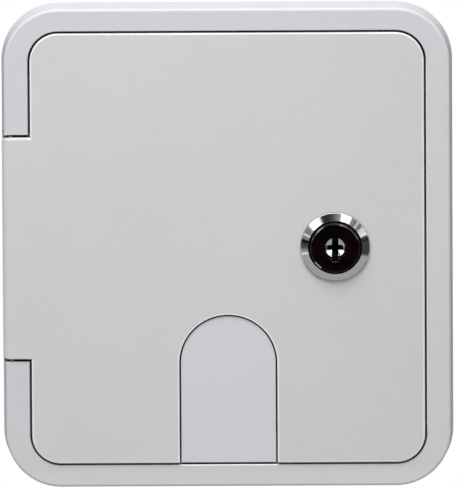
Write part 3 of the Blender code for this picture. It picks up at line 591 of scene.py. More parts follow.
def turned_metal(name, colour, roughness, line_depth, lines=9000.0, scratches=0.5):
    """Plated metal with the fine rings that turning and polishing leave."""
    mat, shader, g = shader_of(name)
    place = g.add("ShaderNodeTexCoord").outputs["Object"]
    radius, angle, depth = polar(g, place)
    walk = g.maths("ADD", radius, g.maths("MULTIPLY", depth, 0.7))
    ring = g.line_noise(walk, lines, 4.0)
    band = g.line_noise(walk, lines * 0.22, 2.0)
    cloud = g.noise(place, 260.0, 3.0)
    nick = g.spread(g.noise(place, 1500.0, 4.0, 0.7, 3.0), 0.66, 0.72)
    on_edge = edge_mask(g, 0.15)
    broad = g.line_noise(walk, lines * 0.10, 1.0)
    shade = g.maths("MULTIPLY_ADD", g.maths("SUBTRACT", ring, 0.5), 0.20, 0.99)
    shade = g.maths("MULTIPLY_ADD", g.maths("SUBTRACT", band, 0.5), 0.35, shade)
    shade = g.maths("MULTIPLY_ADD", g.maths("SUBTRACT", broad, 0.5), 0.25, shade)
    shade = g.maths("MULTIPLY_ADD", g.maths("SUBTRACT", cloud, 0.5), 0.06, shade)
    tone = g.add("ShaderNodeMix", data_type="RGBA", blend_type="MULTIPLY")
    tone.inputs[0].default_value = 1.0
    g.link(rgba(colour), tone.inputs[6])
    joined = g.add("ShaderNodeCombineColor")
    for socket in joined.inputs[:3]:
        g.link(shade, socket)
    g.link(joined.outputs[0], tone.inputs[7])
    g.link(tone.outputs[2], shader.inputs["Base Color"])
    shader.inputs["Metallic"].default_value = 1.0
    rough = g.maths("MULTIPLY_ADD", g.maths("SUBTRACT", band, 0.5), roughness * 0.8, roughness)
    rough = g.maths("MULTIPLY_ADD", g.maths("SUBTRACT", cloud, 0.5), roughness * 0.8, rough)
    rough = g.maths("MULTIPLY_ADD", nick, 0.12, rough)
    rough = g.maths("MULTIPLY_ADD", on_edge, 0.05, rough)
    g.link(rough, shader.inputs["Roughness"])
    height = g.maths("MULTIPLY_ADD", band, 1.4, ring)
    normal = g.bump(height, line_depth, 1.0)
    normal = g.bump(nick, 0.000004, scratches, normal)
    g.link(normal, shader.inputs["Normal"])
    return mat


def gloss_black(name, ior=1.42):
    """Black face cap: moulded gloss with faint turning rings and fine scuffs."""
    mat, shader, g = shader_of(name)
    place = g.add("ShaderNodeTexCoord").outputs["Object"]
    radius, angle, depth = polar(g, place)
    ring = g.line_noise(radius, 5200.0, 3.0)
    broad = g.line_noise(radius, 900.0, 1.0)
    cloud = g.noise(place, 190.0, 3.0, 0.6)
    scuff = g.spread(g.noise(place, 1700.0, 4.0, 0.7, 2.5), 0.62, 0.72)
    on_edge = edge_mask(g, 0.2)
    warm = g.mix(g.spread(cloud, 0.42, 0.62), (0.0048, 0.0013, 0.0009, 1),
                 (0.0009, 0.0005, 0.0005, 1))
    warm = g.mix(g.maths("MULTIPLY", g.spread(broad, 0.5, 0.75), 0.5), warm,
                 (0.0075, 0.0024, 0.0015, 1))
    warm = g.mix(g.maths("MULTIPLY", on_edge, 0.10), warm, (0.10, 0.095, 0.095, 1))
    g.link(warm, shader.inputs["Base Color"])
    rough = g.maths("MULTIPLY_ADD", g.maths("SUBTRACT", ring, 0.5), 0.06, 0.075)
    rough = g.maths("MULTIPLY_ADD", scuff, 0.12, rough)
    g.link(rough, shader.inputs["Roughness"])
    height = g.maths("MULTIPLY_ADD", broad, 2.0, ring)
    normal = g.bump(height, 0.0000025, 1.0)
    normal = g.bump(scuff, 0.000003, 0.4, normal)
    g.link(normal, shader.inputs["Normal"])
    shader.inputs["IOR"].default_value = ior
    return mat


def plated(name, colour, roughness, mottle=0.18, warm=(1.0, 0.96, 0.86)):
    """Zinc plate or plain steel: mottled tone, drawn scratches, dull patches."""
    mat, shader, g = shader_of(name)
    place = g.add("ShaderNodeTexCoord").outputs["Object"]
    cloud = g.noise(place, 320.0, 4.0, 0.6)
    patch = g.noise(place, 90.0, 2.0)
    fine = g.noise(place, 4200.0, 3.0, 0.6)
    stretched = g.add("ShaderNodeMapping")
    stretched.inputs["Scale"].default_value = (1.0, 0.08, 1.0)
    g.link(place, stretched.inputs["Vector"])
    drawn = g.noise(stretched.outputs[0], 3800.0, 3.0, 0.7)
    on_edge = edge_mask(g, 0.2)
    tone = g.mix(g.spread(cloud, 0.35, 0.65), rgba(colour, 1.0 - mottle),
                 rgba(tuple(c * w for c, w in zip(colour, warm)), 1.0))
    tone = g.mix(g.maths("MULTIPLY", on_edge, 0.5), tone, rgba(colour, 1.25))
    g.link(tone, shader.inputs["Base Color"])
    shader.inputs["Metallic"].default_value = 1.0
    rough = g.maths("MULTIPLY_ADD", g.maths("SUBTRACT", patch, 0.5), 0.25, roughness)
    rough = g.maths("MULTIPLY_ADD", g.maths("SUBTRACT", drawn, 0.5), 0.20, rough)
    rough = g.maths("MULTIPLY_ADD", on_edge, -0.10, rough)
    g.link(rough, shader.inputs["Roughness"])
    height = g.maths("MULTIPLY_ADD", drawn, 0.8, fine)
    g.link(g.bump(height, 0.000006, 0.6), shader.inputs["Normal"])
    return mat


def rubber(name, colour, roughness=0.62, pore=0.0):
    """Rubber or closed-cell foam: matt, bloomed, with pores if it is foam."""
    mat, shader, g = shader_of(name)
    place = g.add("ShaderNodeTexCoord").outputs["Object"]
    cloud = g.noise(place, 120.0, 4.0, 0.6)
    fine = g.noise(place, 3000.0, 3.0, 0.6)
    cells = g.add("ShaderNodeTexVoronoi", feature="SMOOTH_F1")
    g.link(place, cells.inputs["Vector"])
    cells.inputs["Scale"].default_value = 1700.0
    on_edge = edge_mask(g, 0.3)
    tone = g.mix(g.spread(cloud, 0.3, 0.75), rgba(colour, 0.8), rgba(colour, 1.5))
    tone = g.mix(g.maths("MULTIPLY", on_edge, 0.3), tone, rgba(colour, 2.6))
    g.link(tone, shader.inputs["Base Color"])
    g.link(g.maths("MULTIPLY_ADD", g.maths("SUBTRACT", fine, 0.5), 0.2, roughness),
           shader.inputs["Roughness"])
    height = g.maths("MULTIPLY_ADD", cells.outputs["Distance"], pore, fine)
    g.link(g.bump(height, 0.00006 if pore else 0.00002, 0.7), shader.inputs["Normal"])
    return mat


def shade_black_metal(name):
    """Near-black metal laid on as painted shade in the keyway, the lock's bore, round the cap and under the
    ring.
    """
    mat, shader, g = shader_of(name)
    place = g.add("ShaderNodeTexCoord").outputs["Object"]
    cloud = g.noise(place, 700.0, 4.0, 0.6)
    fine = g.noise(place, 5200.0, 3.0, 0.6)
    tone = g.mix(g.spread(cloud, 0.35, 0.7), (0.0035, 0.0032, 0.0030, 1),
                 (0.0110, 0.0098, 0.0085, 1))
    g.link(tone, shader.inputs["Base Color"])
    g.link(g.maths("MULTIPLY_ADD", g.maths("SUBTRACT", fine, 0.5), 0.25, 0.62),
           shader.inputs["Roughness"])
    g.link(g.bump(fine, 0.00001, 0.8), shader.inputs["Normal"])
    shader.inputs["Specular IOR Level"].default_value = 0.2
    return mat


FRAME_COLOUR = (0.654, 0.648, 0.688)
FRAME_FADED = (0.648, 0.645, 0.660)
DOOR_COLOUR = (0.660, 0.6565, 0.660)

FAR = 500.0
# frame: painted highlights on the lip under the flap, the right-hand lip and the window edges; painted shade in
# the hinge gaps
frame_plastic = plastic(
    "frame_plastic", FRAME_COLOUR, 0.40, 0.5, FRAME_FADED, highlight_strength=0.95,
    highlight_boxes=[((-17.9, 17.9, 0.5), None, (-84.0, -79.0, 0.3)),
            ((72.0, 74.4, 0.3), None, (-70.0, 70.0, 3.0)),
            ((-82.0, -71.0, 0.4), None, (TAB_Z - WINDOW_HZ - 0.6, TAB_Z - WINDOW_HZ + 0.4, 0.1)),
            ((-82.0, -71.0, 0.4), None, (TAB_Z + WINDOW_HZ - 0.4, TAB_Z + WINDOW_HZ + 0.6, 0.1))],
    shade_boxes=[((-FAR, -70.6, 0.4), (-9.75, FAR, 0.5),
            (TAB_Z + s * WINDOW_HZ - 0.4, TAB_Z + s * WINDOW_HZ + 0.4, 0.15))
           for s in (-1, 1)])
# flap: a painted highlight on its lower edge
flap_plastic = plastic("flap_plastic", (0.688, 0.680, 0.720), 0.42, 0.5, highlight_strength=0.7,
                       highlight_boxes=[(None, None, (-FAR, -79.6, 0.2))])
# door: painted highlights on its edges and notch, painted shade towards its right and in the hinge gaps
door_plastic = plastic(
    "door_plastic", DOOR_COLOUR, 0.44, 0.6, highlight_strength=0.85, line=True,
    highlight_boxes=[((-73.4, FAR, 0.6), None, None)],
    shade_boxes=[((-FAR, -70.6, 0.4), (-9.7, FAR, 0.5),
            (TAB_Z + s * TAB_HZ - 0.4, TAB_Z + s * TAB_HZ + 0.4, 0.15))
           for s in (-1, 1)])
chrome = turned_metal("lock_chrome", (0.86, 0.87, 0.875), 0.050, 0.0000016)
plug_metal = turned_metal("lock_plug_metal", (0.80, 0.80, 0.79), 0.14, 0.0000010, 14000.0)
black_cap = gloss_black("lock_black")
# a more reflective copy of the black, laid on the upper chamfer as a painted highlight
black_lit_copy = gloss_black("lock_black_lit_copy", 2.1)
# near-black metal that paints shade in the lock's deep gaps
painted_shade_metal = shade_black_metal("painted_shade_black")
steel = plated("bright_steel", (0.60, 0.60, 0.59), 0.30, 0.12, (1.0, 0.99, 0.97))
zinc = plated("zinc_plate", (0.66, 0.64, 0.58), 0.36)
brass = plated("brass", (0.74, 0.55, 0.26), 0.30, 0.20, (1.0, 0.95, 0.85))
seal_rubber = rubber("seal_rubber", (0.030, 0.030, 0.032))
gasket_foam = rubber("gasket_foam", (0.055, 0.055, 0.058), 0.85, 1.6)


# ---------------------------------------------------------------------------
# frame
# ---------------------------------------------------------------------------
def build_frame():
    outer = (FRAME_HX, FRAME_HZ, FRAME_R)
    recess = (RECESS_HX, RECESS_HZ, RECESS_R)
    mouth = (MOUTH_HX, MOUTH_HZ, MOUTH_R)
    edge, lip = 0.3, 0.42
    rings = edge_rings(grown(outer, -edge), FRAME_LIP - edge, edge, 90, 0, 3)
    rings += edge_rings(grown(outer, -FRAME_DRAFT - FRAME_FILLET),
                        FRAME_FACE + FRAME_FILLET, FRAME_FILLET, 0, -90, 8)
    rings += edge_rings(grown(recess, lip), FRAME_FACE + lip, lip, -90, -180, 6)
    rings += edge_rings(grown(recess, -edge), LEDGE_Y - edge, edge, 0, 90, 3)
    rings += edge_rings(grown(mouth, 0.5), LEDGE_Y + 0.5, 0.5, -90, -180, 4)
    rings += edge_rings(grown(mouth, 0.4), SLEEVE_END - 0.4, 0.4, 180, 90, 4)
    rings += edge_rings(grown(mouth, SLEEVE_T - 0.4), SLEEVE_END - 0.4, 0.4, 90, 0, 4)
    rings += edge_rings(grown(mouth, SLEEVE_T + edge), FRAME_BACK + edge, edge,
                        180, 270, 3)
    rings += edge_rings(grown(recess, WALL_T - edge), FRAME_BACK - edge, edge, 90, 0, 3)
    rings += edge_rings(grown(recess, WALL_T + edge), CHANNEL_TOP + edge, edge,
                        180, 270, 3)
    rings += edge_rings(grown(outer, -WALL_T - 0.4 - edge), CHANNEL_TOP + edge, edge,
                        -90, 0, 3)
    rings += edge_rings(grown(outer, -WALL_T + edge), FRAME_LIP - edge, edge,
                        180, 90, 3)
    frame_piece = loft("frame_mould", [rect_ring(*r) for r in rings], cycle=True)

    ch_in_x, ch_out_x = RECESS_HX + WALL_T - 0.4, FRAME_HX - WALL_T + 0.4
    ch_in_z, ch_out_z = RECESS_HZ + WALL_T - 0.4, FRAME_HZ - WALL_T + 0.4
    low, high = CHANNEL_TOP - 0.5, FRAME_BACK - 0.45
    web = WINDOW_HZ + EAR_WEB
    join(frame_piece, block("web", -ch_out_x, -ch_in_x, low, high,
                            TAB_Z - web, TAB_Z + web))
    for z in (-40.0, 0.0, 40.0):
        join(frame_piece, block("web", ch_in_x, ch_out_x, low, high, z - 0.8, z + 0.8))
    for x in (-36.0, 0.0, 36.0):
        for s in (-1, 1):
            z0, z1 = sorted((s * ch_in_z, s * ch_out_z))
            join(frame_piece, block("web", x - 0.8, x + 0.8, low, high, z0, z1))

    cut(frame_piece, block("window", -90.0, -71.4, -12.0, LEDGE_Y,
                           TAB_Z - WINDOW_HZ, TAB_Z + WINDOW_HZ))
    bevel_edges(frame_piece, lambda p, d: p.x < -71.5 and p.y < -4.5
                and abs(abs(p.z - TAB_Z) - WINDOW_HZ) < 0.01, 0.28, 4)
    for s in (-1, 1):
        start = s * (WINDOW_HZ - 2.0) if s > 0 else -(WINDOW_HZ + 24.0)
        cut(frame_piece, rod("bore", "Z", (HINGE_X, HINGE_Y, TAB_Z + start), 26.0,
                             HINGE_PIN_R + GAP, n=32))

    catch = block("catch", 57.5, MOUTH_HX + 1.0, LEDGE_Y + 0.1, 1.4, -11.0, 11.0)
    bevel_edges(catch, lambda p, d: p.x < MOUTH_HX, 0.4, 3)
    join(frame_piece, catch)

    cut(frame_piece, block("pocket", -24.4, 24.4, LEDGE_Y - 1.0, -2.3,
                           -77.2, -70.0))
    cut(frame_piece, block("pocket", -20.6, 20.6, -3.0, SLEEVE_END + 2.0,
                           -74.0, -70.0))
    for s in (-1, 1):
        x0, x1 = sorted((s * EAR_IN, s * EAR_OUT))
        join(frame_piece, block("ear", x0, x1, -7.9, -2.0, -77.4, -73.7))
    cut(frame_piece, rod("bore", "X", (-30.0, FLAP_PIN_Y, FLAP_PIN_Z), 60.0,
                         FLAP_PIN_R + GAP, n=32))
    for sx in (-1, 1):
        for sz in (-1, 1):
            cut(frame_piece, rod("hole", "Y", (sx * SCREW_X, -6.0, sz * SCREW_Z), 8.0,
                                 SCREW_SHANK_R + 0.6, n=36))
    return dress(frame_piece, frame_plastic, "frame", "frame")


# ---------------------------------------------------------------------------
# door
# ---------------------------------------------------------------------------
def arch_outline(hx, low, arch_z, n=72):
    return [(-hx, low), (hx, low)] + [(x, arch_z + z)
                                      for x, z in arc(hx, 0, 180, n)]


def tab_section(inset, y_bottom):
    r = BARREL_R - inset
    drop = y_bottom - HINGE_Y
    end = math.degrees(math.asin(-drop / r))
    pts = [(-70.4, y_bottom), (-70.4, HINGE_Y - r)]
    pts += [(HINGE_X + r * math.cos(math.radians(a)),
             HINGE_Y - r * math.sin(math.radians(a)))
            for a in [90 + (270 + 90 - end - 90) * i / 56 for i in range(57)]]
    return pts


def build_door():
    skin_back = DOOR_FACE + DOOR_SKIN
    face = (DOOR_HX, DOOR_HZ, DOOR_R)
    rings = list(reversed(edge_rings(grown(face, -DOOR_FILLET),
                                     DOOR_FACE + DOOR_FILLET, DOOR_FILLET, 0, -90, 7)))
    inner = RIM_INSET + RIM_W
    rings += [(*face, skin_back), (*grown(face, -RIM_INSET), skin_back)]
    rings += edge_rings(grown(face, -RIM_INSET - 0.3), RIM_BACK - 0.3, 0.3, 0, 90, 3)
    rings += edge_rings(grown(face, -inner + 0.3), RIM_BACK - 0.3, 0.3, 90, 180, 3)
    rings += edge_rings(grown(face, -inner - 0.3), skin_back + 0.3, 0.3, 0, -90, 3)
    door = loft("door_mould", [rect_ring(*r) for r in rings])

    x_end, z_end = DOOR_HX - 1.5, DOOR_HZ - 1.5
    front = skin_back - 0.6
    for x, z0, z1 in ((-40.0, -z_end, z_end), (0.0, -21.5, z_end)):
        join(door, block("rib", x - 0.9, x + 0.9, front, RIB_BACK, z0, z1))
    for z, x0, x1 in ((36.0, -x_end, x_end), (-21.5, -x_end, x_end),
                      (-60.0, -x_end, -21.5), (-60.0, 21.5, x_end)):
        join(door, block("rib", x0, x1, front, RIB_BACK, z - 0.9, z + 0.9))

    def end_sections(r, steps):
        return [(r * (1 - math.sin(math.pi / 2 * i / steps)),
                 TAB_HZ - r * (1 - math.cos(math.pi / 2 * i / steps)))
                for i in range(steps + 1)]

    rings = [[(x, y, TAB_Z - z) for x, y in tab_section(inset, skin_back)]
             for inset, z in end_sections(TAB_LOW_R, 5)]
    rings += [[(x, y, TAB_Z + z) for x, y in tab_section(inset, skin_back)]
              for inset, z in reversed(end_sections(TAB_TOP_R, 9))]
    join(door, loft("tab", rings))
    for s in (-1, 1):
        start = TAB_HZ - 13.0 if s > 0 else -(TAB_HZ + 2.0)
        cut(door, rod("bore", "Z", (HINGE_X, HINGE_Y, TAB_Z + start), 15.0,
                      HINGE_PIN_R + GAP, n=32))

    # the notch opens out over a rounded front edge
    soft = 0.26
    sections = [(soft, -14.0)]
    sections += [(soft * (1 - math.cos(math.radians(t))),
                  DOOR_FACE + soft * (1 - math.sin(math.radians(t))))
                 for t in (90, 75, 60, 45, 30, 15, 0)]
    sections.append((0.0, 0.0))
    cut(door, loft("notch", [[(x, y, z) for x, z in
                              arch_outline(NOTCH_HX + d, -90.0, ARCH_Z)]
                             for d, y in sections]))
    hole_r, hole_flat = BARREL_THREAD_R + GAP, BARREL_FLAT + GAP
    half = math.degrees(math.asin(hole_flat / hole_r))
    outline = [(LOCK_X + x, LOCK_Z + z)
               for x, z in arc(hole_r, -half, half, 32)
               + arc(hole_r, 180 - half, 180 + half, 32)]
    cut(door, prism("hole", outline, -14.0, 0.0))
    return dress(door, door_plastic, "door", "door")


# ---------------------------------------------------------------------------
# flap, pin and spring
# ---------------------------------------------------------------------------
def build_flap():
    def ring(inset, y):
        return [(x, y, z) for x, z in
                arch_outline(FLAP_HX - inset, FLAP_BOTTOM + inset, ARCH_Z)]

    edge = 0.26
    rings = []
    for i in range(6):
        a = math.pi / 2 * i / 5
        rings.append(ring(edge * (1 - math.sin(a)), FLAP_FACE + edge * (1 - math.cos(a))))
    rings.append(ring(0.0, FLAP_BACK))
    flap = loft("flap_mould", rings)
    for s in (-1, 1):
        x0, x1 = sorted((s * KNUCKLE_IN, s * KNUCKLE_OUT))
        join(flap, rod("knuckle", "X", (x0, FLAP_PIN_Y, FLAP_PIN_Z), x1 - x0,
                       KNUCKLE_R, n=48))
        join(flap, block("heel", x0, x1, FLAP_BACK - 0.4, -3.9, -80.0, -78.3))
    cut(flap, block("pocket", -KNUCKLE_IN + 0.1, KNUCKLE_IN - 0.1, -8.3, -5.0,
                    -78.7, -73.3))
    cut(flap, rod("bore", "X", (-22.0, FLAP_PIN_Y, FLAP_PIN_Z), 44.0,
                  FLAP_PIN_R + GAP, n=32))
    return dress(flap, flap_plastic, "flap", "flap")


def build_flap_seal():
    seal = prism("lip", arch_outline(SEAL_HX, SEAL_LOW, ARCH_Z), SEAL_FRONT, SEAL_BACK)
    cut(seal, prism("inside", arch_outline(FLAP_HX + GAP, SEAL_LOW - 5.0, ARCH_Z),
                    SEAL_FRONT - 1.0, FLAP_BACK + GAP))
    cut(seal, prism("inside", arch_outline(SEAL_IN_HX, SEAL_LOW - 5.0, ARCH_Z),
                    SEAL_FRONT - 1.0, SEAL_BACK + 1.0))
    bevel_edges(seal, lambda p, d: p.z > SEAL_LOW + 0.1, 0.18, 2)
    # thin tails beside the flap run on to just above its pin
    for s in (-1, 1):
        x0, x1 = sorted((s * (FLAP_HX + 0.04), s * (SEAL_HX - 0.3)))
        join(seal, block("tail", x0, x1, SEAL_FRONT + 0.2, -6.62,
                         SEAL_LOW - 5.1, SEAL_LOW + 0.4))
    return dress(seal, seal_rubber, "flap", "flap_seal")


def along(obj, axis):
    """Turn a piece that was spun about Y so that it lies along X or Z."""
    turn = {"X": Matrix.Rotation(-math.pi / 2, 4, "Z"),
            "Z": Matrix.Rotation(math.pi / 2, 4, "X")}[axis]
    obj.data.transform(turn)
    return obj


def moved(obj, x, y, z):
    obj.data.transform(Matrix.Translation(Vector((x, y, z)) * MM))
    return obj


def build_pins():
    # flap pin: a headed rod with a chamfered end, and its push-on retainer
    pin = along(turned("pin", softened([
        (0.0, -25.2), (1.5, -25.2, 0.3), (1.9, -24.7, 0.2), (1.9, -24.2, 0.1),
        (FLAP_PIN_R, -24.2, 0.08), (FLAP_PIN_R, 25.5, 0.15), (0.7, 26.0, 0.1),
        (0.0, 26.0)], closed=False), 0, 0, n=40, closed=False), "X")
    dress(moved(pin, 0, FLAP_PIN_Y, FLAP_PIN_Z), steel, "frame", "flap_pin")
    r0 = FLAP_PIN_R + GAP
    collar = along(turned("collar", softened([
        (r0, 23.8, 0.08), (1.9, 23.8, 0.15), (1.9, 24.6, 0.15), (r0, 24.6, 0.08)]),
        0, 0, n=48), "X")
    dress(moved(collar, 0, FLAP_PIN_Y, FLAP_PIN_Z), steel, "frame",
          "flap_pin_retainer")
    for node, side in (("hinge_pin_upper", 1), ("hinge_pin_lower", -1)):
        z0 = TAB_Z + side * (TAB_HZ - 11.5)
        low, high = sorted((z0, z0 + side * HINGE_PIN_LEN))
        rod_piece = turned("hinge_rod", softened([
            (0.0, low), (0.75, low, 0.1), (HINGE_PIN_R, low + 0.4, 0.15),
            (HINGE_PIN_R, high - 0.4, 0.15), (0.75, high, 0.1), (0.0, high)],
            closed=False), 0, 0, n=40, closed=False)
        dress(moved(along(rod_piece, "Z"), HINGE_X, HINGE_Y, 0), steel, "frame",
              node)


def wire(name, points, radius, sides=12):
    """A closed round wire swept along points, with rounded ends."""
    pts = [Vector(p) for p in points]
    bm = bmesh.new()
    tangents = []
    for i in range(len(pts)):
        a, b = pts[max(i - 1, 0)], pts[min(i + 1, len(pts) - 1)]
        tangents.append((b - a).normalized())
    normal = tangents[0].orthogonal().normalized()
    loops = []
    ends = ((0.0, 0.35), (0.45, 0.8), (1.0, 1.0))
    for i, (p, t) in enumerate(zip(pts, tangents)):
        if i:
            normal = (tangents[i - 1].rotation_difference(t) @ normal)
            normal = (normal - t * normal.dot(t)).normalized()
        side = t.cross(normal)
        if i == 0:
            spots = [(p + t * (radius * a), b) for a, b in ends]
        elif i == len(pts) - 1:
            spots = [(p - t * (radius * a), b) for a, b in reversed(ends)]
        else:
            spots = [(p, 1.0)]
        for q, share in spots:
            loops.append([bm.verts.new(q + (normal * math.cos(math.tau * k / sides)
                                            + side * math.sin(math.tau * k / sides))
                                       * radius * share) for k in range(sides)])
    for a, b in zip(loops, loops[1:]):
        for k in range(sides):
            j = (k + 1) % sides
            bm.faces.new((a[k], a[j], b[j], b[k]))
    bm.faces.new(loops[0])
    bm.faces.new(list(reversed(loops[-1])))
    return solid(name, finish_mesh(bm, name))


def build_spring():
    cy, cz, r = FLAP_PIN_Y, FLAP_PIN_Z, SPRING_COIL_R
    # the end that pushes on the flap turns with it, so it is a piece of its own
    x = -SPRING_HALF - 0.75
    leg = [(x, cy + e, cz + d) for e, d in ((-0.25, 3.3), (-0.30, 2.6), (-0.42, 2.1),
                                            (-0.75, 1.6), (-1.25, 1.05))]
    leg += [(x, cy + r * math.cos(math.radians(a)), cz + r * math.sin(math.radians(a)))
            for a in range(160, 371, 10)]
    end = wire("spring_end", leg, SPRING_WIRE_R)
    end.data.materials.append(steel)
    end.data.shade_smooth()
    end.name = "flap_spring_end"
    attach(end, "flap")

    pts = []
    per_turn = 36
    total = int((SPRING_TURNS + 0.5) * per_turn)
    for i in range(total + 1):
        a = math.tau * i / per_turn
        pts.append((-SPRING_HALF + 2 * SPRING_HALF * i / total,
                    cy + r * math.cos(a), cz + r * math.sin(a)))
    pts += [(SPRING_HALF, cy - 0.97 * r, cz - 0.7), (SPRING_HALF, cy - 0.72 * r, cz - 1.9),
            (SPRING_HALF, LEDGE_Y - 1.3, cz - 3.2), (SPRING_HALF, LEDGE_Y - 0.75, cz - 3.9)]
    dress(wire("spring", pts, SPRING_WIRE_R), steel, "frame", "flap_spring",
          weighted=False)


# ---------------------------------------------------------------------------
# seals
# ---------------------------------------------------------------------------
def build_seals():
    outer = (RECESS_HX + WALL_T - 0.6, RECESS_HZ + WALL_T - 0.6, RECESS_R + WALL_T - 0.6)
    clear = SLEEVE_T + 1.0
    inner = (MOUTH_HX + clear, MOUTH_HZ + clear, MOUTH_R + clear)
    front, back = FRAME_BACK + GAP, 0.0
    soft = 0.12
    rings = edge_rings(grown(outer, -soft), back - soft, soft, 90, 0, 2)
    rings += edge_rings(grown(outer, -soft), front + soft, soft, 0, -90, 2)
    rings += edge_rings(grown(inner, soft), front + soft, soft, -90, -180, 2)
    rings += edge_rings(grown(inner, soft), back - soft, soft, 180, 90, 2)
    gasket = loft("gasket", [rect_ring(*r) for r in rings], cycle=True)
    for sx in (-1, 1):
        for sz in (-1, 1):
            cut(gasket, rod("hole", "Y", (sx * SCREW_X, -3.0, sz * SCREW_Z), 5.0,
                            SCREW_SHANK_R + 0.5, n=24))
    dress(gasket, gasket_foam, "frame", "flange_gasket")

    # door seal: a flat foot with a hollow-looking crown and two small lips
    o, i = 0.55, 2.9
    y0, y1 = LEDGE_Y - GAP, RIM_BACK + GAP + 0.05
    recess = (RECESS_HX, RECESS_HZ, RECESS_R)
    h = y0 - y1
    rings = []
    for d, y in ((-o, y0), (-o - 0.05, y0 - 0.35 * h), (-o - 0.28, y0 - 0.40 * h),
                 (-o - 0.30, y0 - 0.8 * h), (-o - 0.55, y0 - 0.97 * h),
                 (-o - 0.85, y1), (-(o + i) / 2, y1 + 0.22), (-i + 0.85, y1),
                 (-i + 0.55, y0 - 0.97 * h), (-i + 0.30, y0 - 0.8 * h),
                 (-i + 0.28, y0 - 0.40 * h), (-i + 0.05, y0 - 0.35 * h), (-i, y0)):
        rings.append((*grown(recess, d), y))
    seal = loft("seal", [rect_ring(*r) for r in rings], cycle=True)
    cut(seal, block("bay", -26.0, 26.0, -9.0, 0.0, -90.0, -60.0))
    dress(seal, seal_rubber, "frame", "door_seal")


# ---------------------------------------------------------------------------
# screws
# ---------------------------------------------------------------------------
def thread_shape(pitch, depth, y0, y1, fade, sharp=1.6):
    """A radius drawn in to make a helical thread between y0 and y1."""
    def shape(x, y, z, r, a):
        phase = ((y - y0) / pitch - a / math.tau) % 1.0
        ridge = 1.0 - abs(2.0 * phase - 1.0)             # 0 in the root, 1 on the crest
        ridge = min(1.0, ridge * sharp)
        run = min(1.0, max(0.0, (y - y0) / fade)) * min(1.0, max(0.0, (y1 - y) / fade))
        new = r - depth * (1.0 - ridge * run)
        return (x * new / r, y, z * new / r)
    return shape


def build_screws():
    seat = LEDGE_Y - GAP
    top = seat - SCREW_HEAD_H
    r = SCREW_HEAD_R
    tip = seat + SCREW_LEN
    head = softened([(0.0, top), (0.45 * r, top + 0.10, 1.0), (0.82 * r, top + 0.5, 0.8),
                     (r, top + 1.25, 0.5), (r, seat, 0.15), (SCREW_SHANK_R, seat, 0.1)],
                    closed=False)
    head = head[:-1] + [(SCREW_SHANK_R, seat)]
    rows = []
    y, step = seat + 0.15, 0.13
    while y < tip - 3.2:
        rows.append((SCREW_SHANK_R, y))
        y += step
    while y < tip - 0.25:
        k = (y - (tip - 3.2)) / 2.95
        rows.append((SCREW_SHANK_R * (1 - k) + 0.42 * k, y))
        y += step
    profile = head + rows + [(0.2, tip - 0.12), (0.0, tip)]
    base = thread_shape(1.35, 0.46, seat + 0.6, tip - 0.35, 1.2, 1.5)

    def shape(x, y, z, rr, a):
        if y < seat + 0.1 or rr < 0.5:
            return (x, y, z)
        return base(x, y, z, rr, a)

    source = turned("screw", profile, 0, 0, n=36, closed=False, shape=shape)
    for w, h in ((0.5, 1.9), (1.9, 0.5)):
        cut(source, prism("cross", softened([(-w, -h, 0.2), (w, -h, 0.2), (w, h, 0.2),
                                             (-w, h, 0.2)], 3), top - 1.0, top + 1.1))
    mesh = source.data
    bpy.data.objects.remove(source, do_unlink=True)
    for index, (sx, sz) in enumerate(((-1, 1), (1, 1), (-1, -1), (1, -1))):
        screw = solid("screw_piece", mesh.copy())
        turn = Matrix.Rotation(math.radians(17.0 + 61.0 * index), 4, "Y")
        screw.data.transform(turn)
        moved(screw, sx * SCREW_X, 0, sz * SCREW_Z)
        dress(screw, zinc, "frame", "mounting_screw_%d" % (index + 1),
              angle=40)


